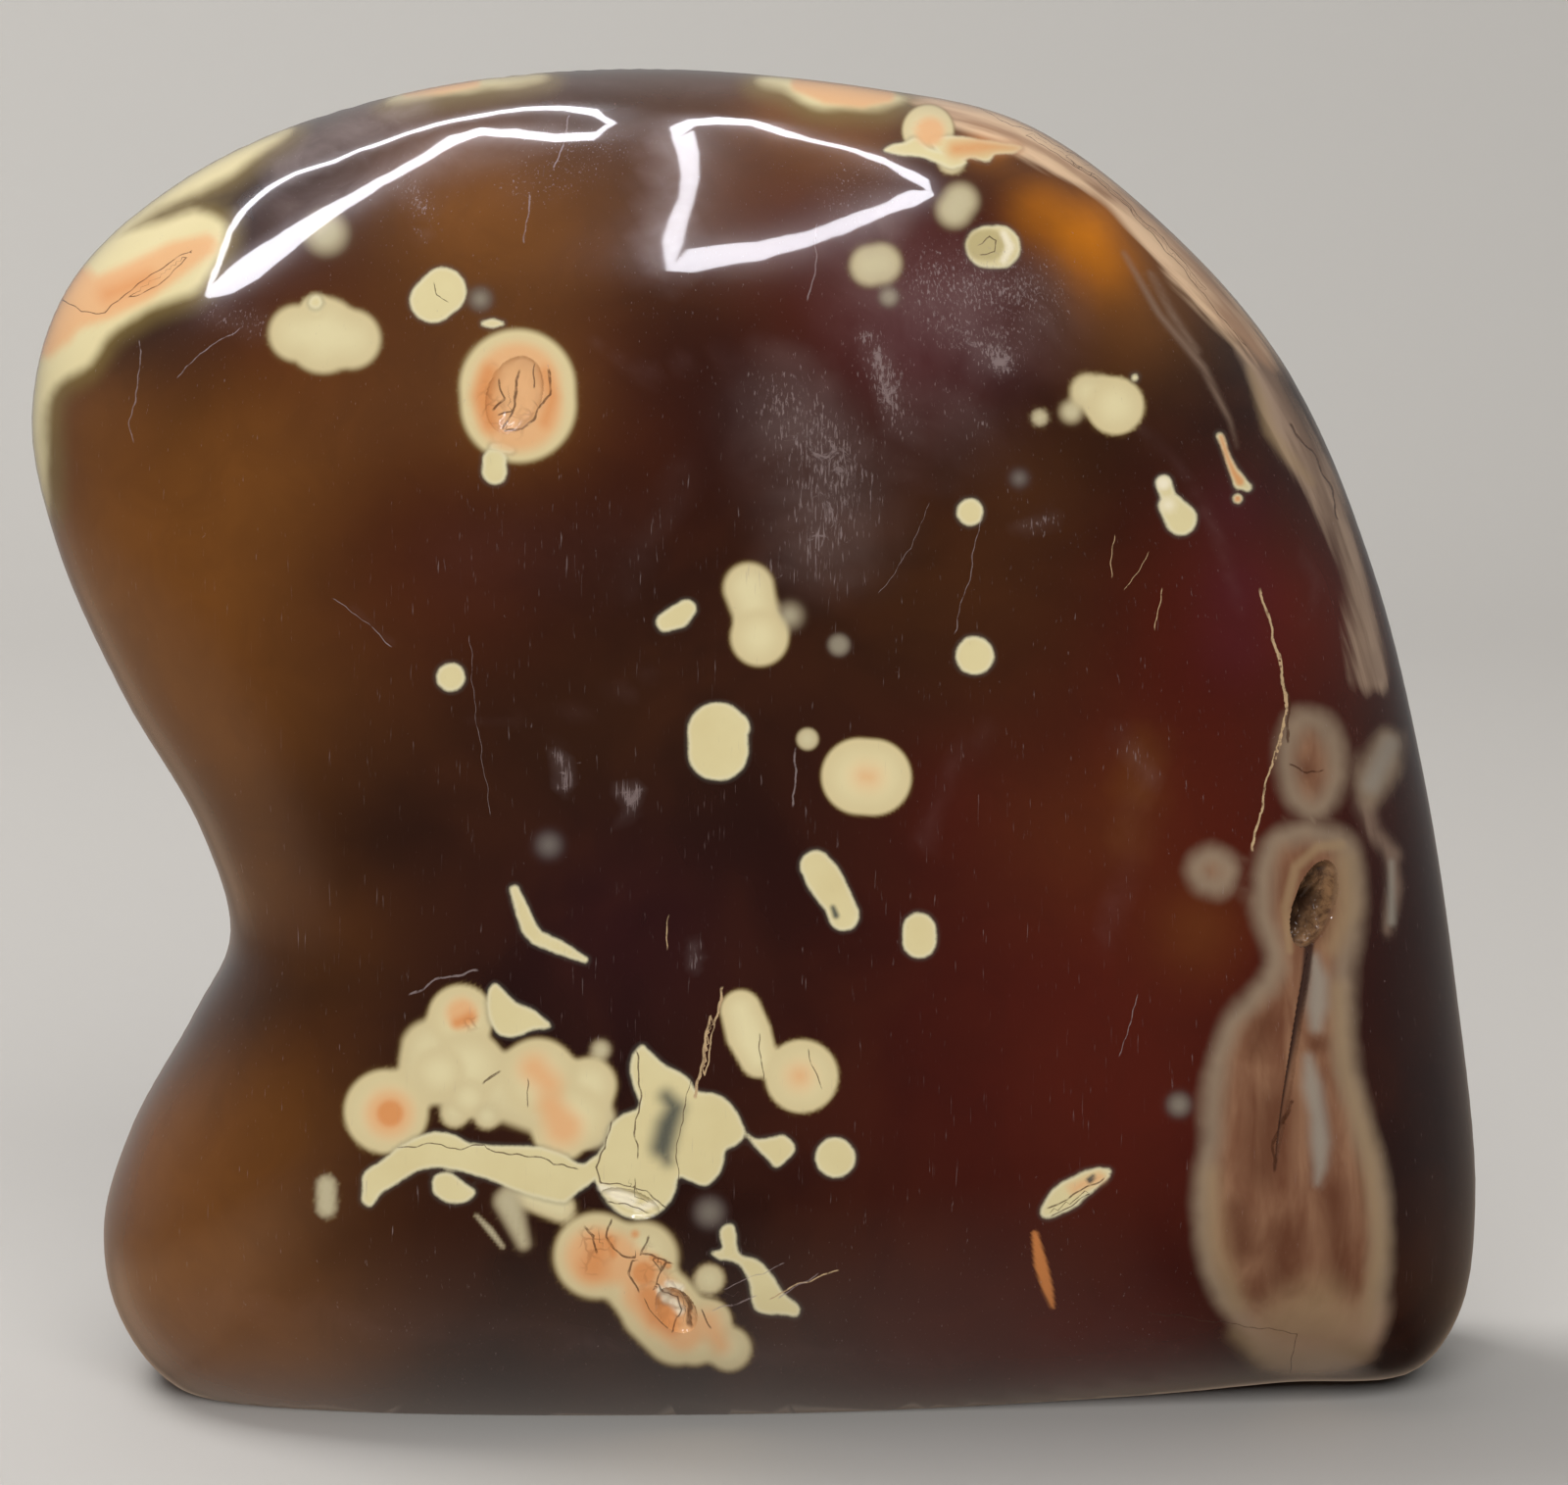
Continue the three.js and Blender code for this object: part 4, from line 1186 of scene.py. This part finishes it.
    # Nodules that the polish cuts through, with a thin white edge
    ragged = add("Math", [noise["fine"], 0.16, -0.08], **TIMES_PLUS)
    small_wobble = add("Math", [wobble, 0.35, ragged], **TIMES_PLUS)
    edge = add("Math", [mark["cut_edge"], small_wobble], operation="ADD")
    cream = add("Mix", {0: noise["wobble"], 6: "#e2d6a6", 7: "#d6c592"}, **BLEND)
    white = add("MapRange", [edge, 0.0, 0.35, 0.3, 0.0], **RAMP)
    cream = add("Mix", {0: white, 6: cream, 7: "#e6e4cf"}, **BLEND)
    shade = add("MapRange", [edge, -0.4, 0.0, 0.0, 0.3], **RAMP)
    layers.append((shade, "#5d5e56"))
    cut = add("MapRange", [edge, -0.14, 0.12], **RAMP)
    layers.append((cut, cream))

    # Peach and orange hearts, khaki cores, white crystals with one painted highlight, the painted shade of
    # the fissure, and windows in the cream
    for name, strength, heart_colour in HEART_COLOURS:
        shown = add("Math", [mark[name], strength], **TIMES)
        layers.append((shown, heart_colour))

    # Hearts parted as bark
    warped = add("TexNoise", {0: place, 2: 1 / (1.2 * MM), 3: 2}, out=1)
    warped = add("Mix", {0: 0.0012, 4: place, 5: warped}, out=1, data_type="VECTOR")
    pieces = {"Vector": warped, "Scale": 1 / (1.1 * MM), "Randomness": 1.0}
    parted = add("TexVoronoi", pieces, feature="DISTANCE_TO_EDGE")
    parted = add("MapRange", [parted, 0.02, 0.12, 0.3, 0.0], **RAMP)
    some = add("MapRange", [noise["wobble"], 0.42, 0.6], **RAMP)
    parted = add("Math", [parted, some], **TIMES)
    parted = add("Math", [parted, mark["bark"]], **TIMES)
    layers.append((parted, "#7b4526"))

    # Cracks with one painted shadow line, and scratches of the polish: dark and pale lines of uneven
    # strength
    lines = {}
    for name, waver, least in (("crack_and_shadow", 1.2, 0.35), ("scratch", 1.6, 0.1), ("gold", 1.4, 0.15)):
        wavered = add("Math", [noise["fine"], waver, -waver / 2], **TIMES_PLUS)
        across = add("Math", [mark[name + "_side"], wavered], operation="ADD")
        across = add("Math", [across], operation="ABSOLUTE")
        across = add("MapRange", [across, 0.35, 0.75, 1.0, 0.0], **RAMP)
        near = add("MapRange", [mark[name + "_near"], 0.3, 0.8], **RAMP)
        uneven = add("MapRange", [noise["fine"], 0.25, 0.55, least], **RAMP)
        across = add("Math", [across, near], **TIMES)
        lines[name] = add("Math", [across, uneven], **TIMES)
    cracks_and_shadow = add("Math", [lines["crack_and_shadow"], 0.75], **TIMES)
    layers.append((cracks_and_shadow, "#46291a"))
    layers.append((lines["gold"], "#c0a27c"))

    # Inside the pits: brown crystals, with painted shade that darkens them the deeper they sink, so their
    # points are paler
    pit_colour = add("MapRange", [noise["specks"], 0.3, 0.7], **RAMP)
    pit_colour = add("Mix", {0: pit_colour, 6: "#4b3325", 7: "#94704f"}, **BLEND)
    # Painted shade: the deeper a place sinks in a pit, the darker its colour.
    deepest = add("MapRange", [mark["sunk"], 0.6, 2.1], **RAMP)
    pit_colour = add("Mix", {0: deepest, 6: pit_colour, 7: "#2e1d13"}, **BLEND)
    in_pit = add("MapRange", [mark["dark"], 0.0, 0.7], **RAMP)
    layers.append((in_pit, pit_colour))

    # Worn places on the polish: scratches, dry film and specks. By the bright loops the haze is painted
    # glare and painted reflection.
    hairs = add("Math", [mark["scuff"], 0.22, noise["hairs"]], **TIMES_PLUS)
    hairs = add("MapRange", [hairs, 0.66, 0.8, 0.0, 0.75], **RAMP)
    film = add("Math", [mark["scuff"], 0.26, noise["film"]], **TIMES_PLUS)
    film = add("MapRange", [film, 0.71, 0.82, 0.0, 0.75], **RAMP)
    worn = add("Math", [hairs, film], **MOST)
    specks = add("MapRange", [noise["specks"], 0.7, 0.76, 0.0, 0.5], **RAMP)
    worn = add("Math", [worn, specks], **MOST)
    worn = add("Math", [worn, lines["scratch"]], **MOST, use_clamp=True)
    # Painted glare: by the bright loops this haze lightens the colour in place of their glow and
    # reflection.
    haze_and_glare = add("Math", [mark["scuff"], 0.18, mark["haze"]], **TIMES_PLUS)
    haze_and_glare = add("Math", [haze_and_glare, noise["drifts"]], **TIMES)
    dust_and_glare = add("Math", [worn, 0.55, haze_and_glare], **TIMES_PLUS, use_clamp=True)
    layers.append((dust_and_glare, "#9c8a88"))

    for cover, colour in layers:
        body = add("Mix", {0: cover, 6: body, 7: colour}, **BLEND)
    rough = add("Math", [worn, 0.3, 0.16], **TIMES_PLUS)
    in_pit_rough = add("MapRange", [mark["sunk"], 0.0, 0.3, 0.0, 0.38], **RAMP)
    rough = add("Math", [rough, in_pit_rough], **MOST)
    relief = add("Math", [worn, 0.25, lines["crack_and_shadow"]], **TIMES_PLUS)
    relief = add("Math", [parted, relief], **MOST)
    grooves = add("Bump", {0: 0.6, 1: 0.06 * MM, 3: relief}, invert=True)
    gloss = {"Base Color": body, "Roughness": rough, "Normal": grooves, "IOR": 1.54}
    gloss.update({"Specular IOR Level": 0.14, "Coat Weight": 0.7, "Coat Roughness": 0.03, "Coat IOR": 1.5})
    add("OutputMaterial", [add("BsdfPrincipled", gloss)])
    return material


# The table, in metres: where it starts and bends up, its bend, the height behind and half its width
TABLE_START, TABLE_BEND, BEND_RADIUS, BACKDROP_HEIGHT, TABLE_HALF_WIDTH = -1.2, 0.5, 0.35, 1.1, 4.0
TABLE_ROWS = 80


def pale_table():
    """A pale matt table that rises far behind the stone in one soft sweep. The stone doesn't
    mirror it: what it mirrors is the room."""
    material, add = new_material("pale_table")
    add("OutputMaterial", [add("BsdfPrincipled", {"Base Color": "#c4c1bc", "Roughness": 0.6})])
    bpy.ops.object.select_all(action="DESELECT")
    bpy.ops.mesh.primitive_grid_add(x_subdivisions=1, y_subdivisions=TABLE_ROWS, size=1)
    table = bpy.context.object
    table.name = "floor"
    arc = BEND_RADIUS * math.pi / 2
    whole = TABLE_BEND - TABLE_START + arc + BACKDROP_HEIGHT
    for vertex in table.data.vertices:
        past_bend = TABLE_START + (vertex.co.y + 0.5) * whole - TABLE_BEND
        turn = min(max(past_bend / BEND_RADIUS, 0), math.pi / 2)
        back = TABLE_BEND + min(past_bend, 0) + BEND_RADIUS * math.sin(turn)
        rise = BEND_RADIUS * (1 - math.cos(turn)) + max(past_bend - arc, 0)
        vertex.co = (vertex.co.x * 2 * TABLE_HALF_WIDTH, back, rise)
    table.data.materials.append(material)
    bpy.ops.object.shade_smooth()
    table.visible_glossy = False


# The two bright loops that the stone mirrors: pixel x, pixel y and width in pixels along each
LEFT_LOOP = [
    (212, 303, 8), (224, 268, 9), (235, 237, 9), (250, 213, 8), (274, 192, 7), (301, 177, 5),
    (340, 165, 5), (400, 142, 5), (445, 127, 5), (490, 118, 5), (535, 111, 5), (574, 110, 6),
    (608, 115, 11), (627, 126, 14), (610, 139, 13), (565, 141, 12), (520, 136, 12), (490, 135, 11),
    (466, 142, 13), (436, 159, 12), (400, 180, 13), (358, 204, 17), (319, 228, 24), (289, 249, 31),
    (256, 273, 38), (232, 290, 30), (212, 303, 8),
]
RIGHT_LOOP = [
    (688, 135, 20), (709, 125, 10), (732, 124, 9), (766, 126, 8), (801, 137, 9), (835, 146, 7),
    (870, 154, 7), (899, 164, 9), (922, 176, 12), (943, 187, 14), (948, 197, 14), (932, 201, 22),
    (904, 212, 20), (870, 226, 20), (835, 240, 22), (801, 249, 24), (766, 256, 27), (732, 261, 31),
    (704, 266, 34), (684, 272, 16), (686, 247, 30), (692, 224, 26), (700, 203, 22), (704, 180, 26),
    (702, 157, 30), (697, 139, 34),
]
LIGHT_HEIGHT = 600.0  # of the bent lights above the foot, in mm
LIGHT_STRENGTH = 27
LIGHT_WIDTH = 0.36  # to each side of the loop, as a share of the width given there


def mirrored(pixels):
    """Where above the stone a light stands that the camera sees mirrored at pixels."""
    point, normal, sight = on_front(pixels)
    onward = sight - 2 * (sight * normal).sum(axis=1)[:, None] * normal
    return point + onward * ((LIGHT_HEIGHT - point[:, 2]) / onward[:, 2])[:, None]


def bent_light(name, loop):
    """A flat bent light, hung where its reflection runs along the loop."""
    material, add = new_material(name)
    add("OutputMaterial", [add("Emission", ["#f6f6ff", LIGHT_STRENGTH])])
    loop = np.array(loop, float)
    along = np.roll(loop, -1, axis=0) - np.roll(loop, 1, axis=0)
    along = along[:, :2] / np.hypot(along[:, 0], along[:, 1])[:, None]
    aside = np.column_stack([-along[:, 1], along[:, 0]]) * loop[:, 2:] * LIGHT_WIDTH
    edges = [mirrored(loop[:, :2] + aside * side) * MM for side in (-1, 1)]
    bpy.ops.object.select_all(action="DESELECT")
    bpy.ops.mesh.primitive_grid_add(x_subdivisions=len(loop), y_subdivisions=1, size=1)
    light = bpy.context.object
    light.name = name
    for vertex in light.data.vertices:
        step = round((vertex.co.x + 0.5) * len(loop)) % len(loop)
        vertex.co = edges[int(vertex.co.y > 0)][step]
    light.data.materials.append(material)
    light.visible_camera = False
    light.visible_diffuse = False
    light.visible_shadow = False


def soft_lamp(name, place, aim, width, height, watts):
    """A broad soft light that brightens the stone's colours and leaves no highlight on it."""
    light = bpy.data.lights.new(name, "AREA")
    light.shape = "RECTANGLE"
    light.size = width
    light.size_y = height
    light.energy = watts
    lamp = bpy.data.objects.new(name, light)
    bpy.context.collection.objects.link(lamp)
    lamp.location = place
    lamp.rotation_euler = (Vector(aim) - Vector(place)).to_track_quat("-Z", "Y").to_euler()
    lamp.visible_glossy = False


# How the mirrored room fades: along x or z, from where to where, and from what share to what
ROOM_FALLS = (("x", -0.1, 0.4, 1.0, 0.48), ("z", 0.1, 0.8, 0.62, 1.35), ("z", -0.3, -0.7, 1.0, 0.15))


def dim_room():
    """A room that is pale to look at, and that the stone mirrors as dark in front and paler behind."""
    world = bpy.data.worlds.new("room")
    world.use_nodes = True
    world.node_tree.nodes.clear()
    bpy.context.scene.world = world
    add = partial(add_node, world.node_tree)
    direction = add("TexCoord", out=0)
    x, y, z = (add("SeparateXYZ", [direction], out=i) for i in range(3))
    room = add("MapRange", [y, -0.75, 0.3, 0.05, 0.5])
    for along, start, end, first, last in ROOM_FALLS:
        fall = add("MapRange", [{"x": x, "z": z}[along], start, end, first, last])
        room = add("Math", [room, fall], **TIMES)
    low = add("MapRange", [z, -0.05, -0.3])
    to_left = add("MapRange", [x, -0.2, -0.65, 0.0, 0.62])
    low_left = add("Math", [to_left, low], **TIMES)
    down = add("MapRange", [z, -0.28, -1.0])
    left_of_shadow = add("MapRange", [x, 0.04, 0.19, 0.65, 0.05])
    table = add("Math", [down, left_of_shadow], **TIMES)
    room = add("Math", [room, low_left], **MOST)
    room = add("Math", [room, table], **MOST)
    hue = add("Mix", {0: low, 6: "#efe9e6", 7: "#ffddbe"}, **BLEND)
    hue = add("Mix", {0: down, 6: hue, 7: "#fff0e4"}, **BLEND)
    looked_at = add("LightPath", out=0)
    strength = add("Mix", {0: looked_at, 2: room, 3: 0.85})
    hue = add("Mix", {0: looked_at, 6: hue, 7: "#e8ebf0"}, **BLEND)
    add("OutputWorld", [add("Background", [hue, strength])])


def set_camera():
    data = bpy.data.cameras.new("camera")
    data.lens = LENS_MM
    data.sensor_width = SENSOR_MM
    data.clip_start = 0.01
    camera = bpy.data.objects.new("camera", data)
    bpy.context.collection.objects.link(camera)
    camera.location = Vector(seen_from_camera()[0]) * MM
    camera.rotation_euler = (math.pi / 2 - CAMERA_RISE, 0, 0)
    bpy.context.scene.camera = camera


set_camera()
pale_table()
dim_room()
bent_light("left_light", LEFT_LOOP)
bent_light("right_light", RIGHT_LOOP)
soft_lamp("front_fill", place=(0.1, -1.3, 0.85), aim=(0, 0, 0.05), width=1.2, height=0.8, watts=20)
soft_lamp("window_light", place=(-0.5, 0.35, 0.9), aim=(0, 0, 0.03), width=0.5, height=0.5, watts=7)
bpy.context.scene.view_settings.view_transform = "Standard"

stone = make_stone()
stone.data.materials.clear()
stone.data.materials.append(polished_agate())
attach(stone, "root")
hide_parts("agate_stone")
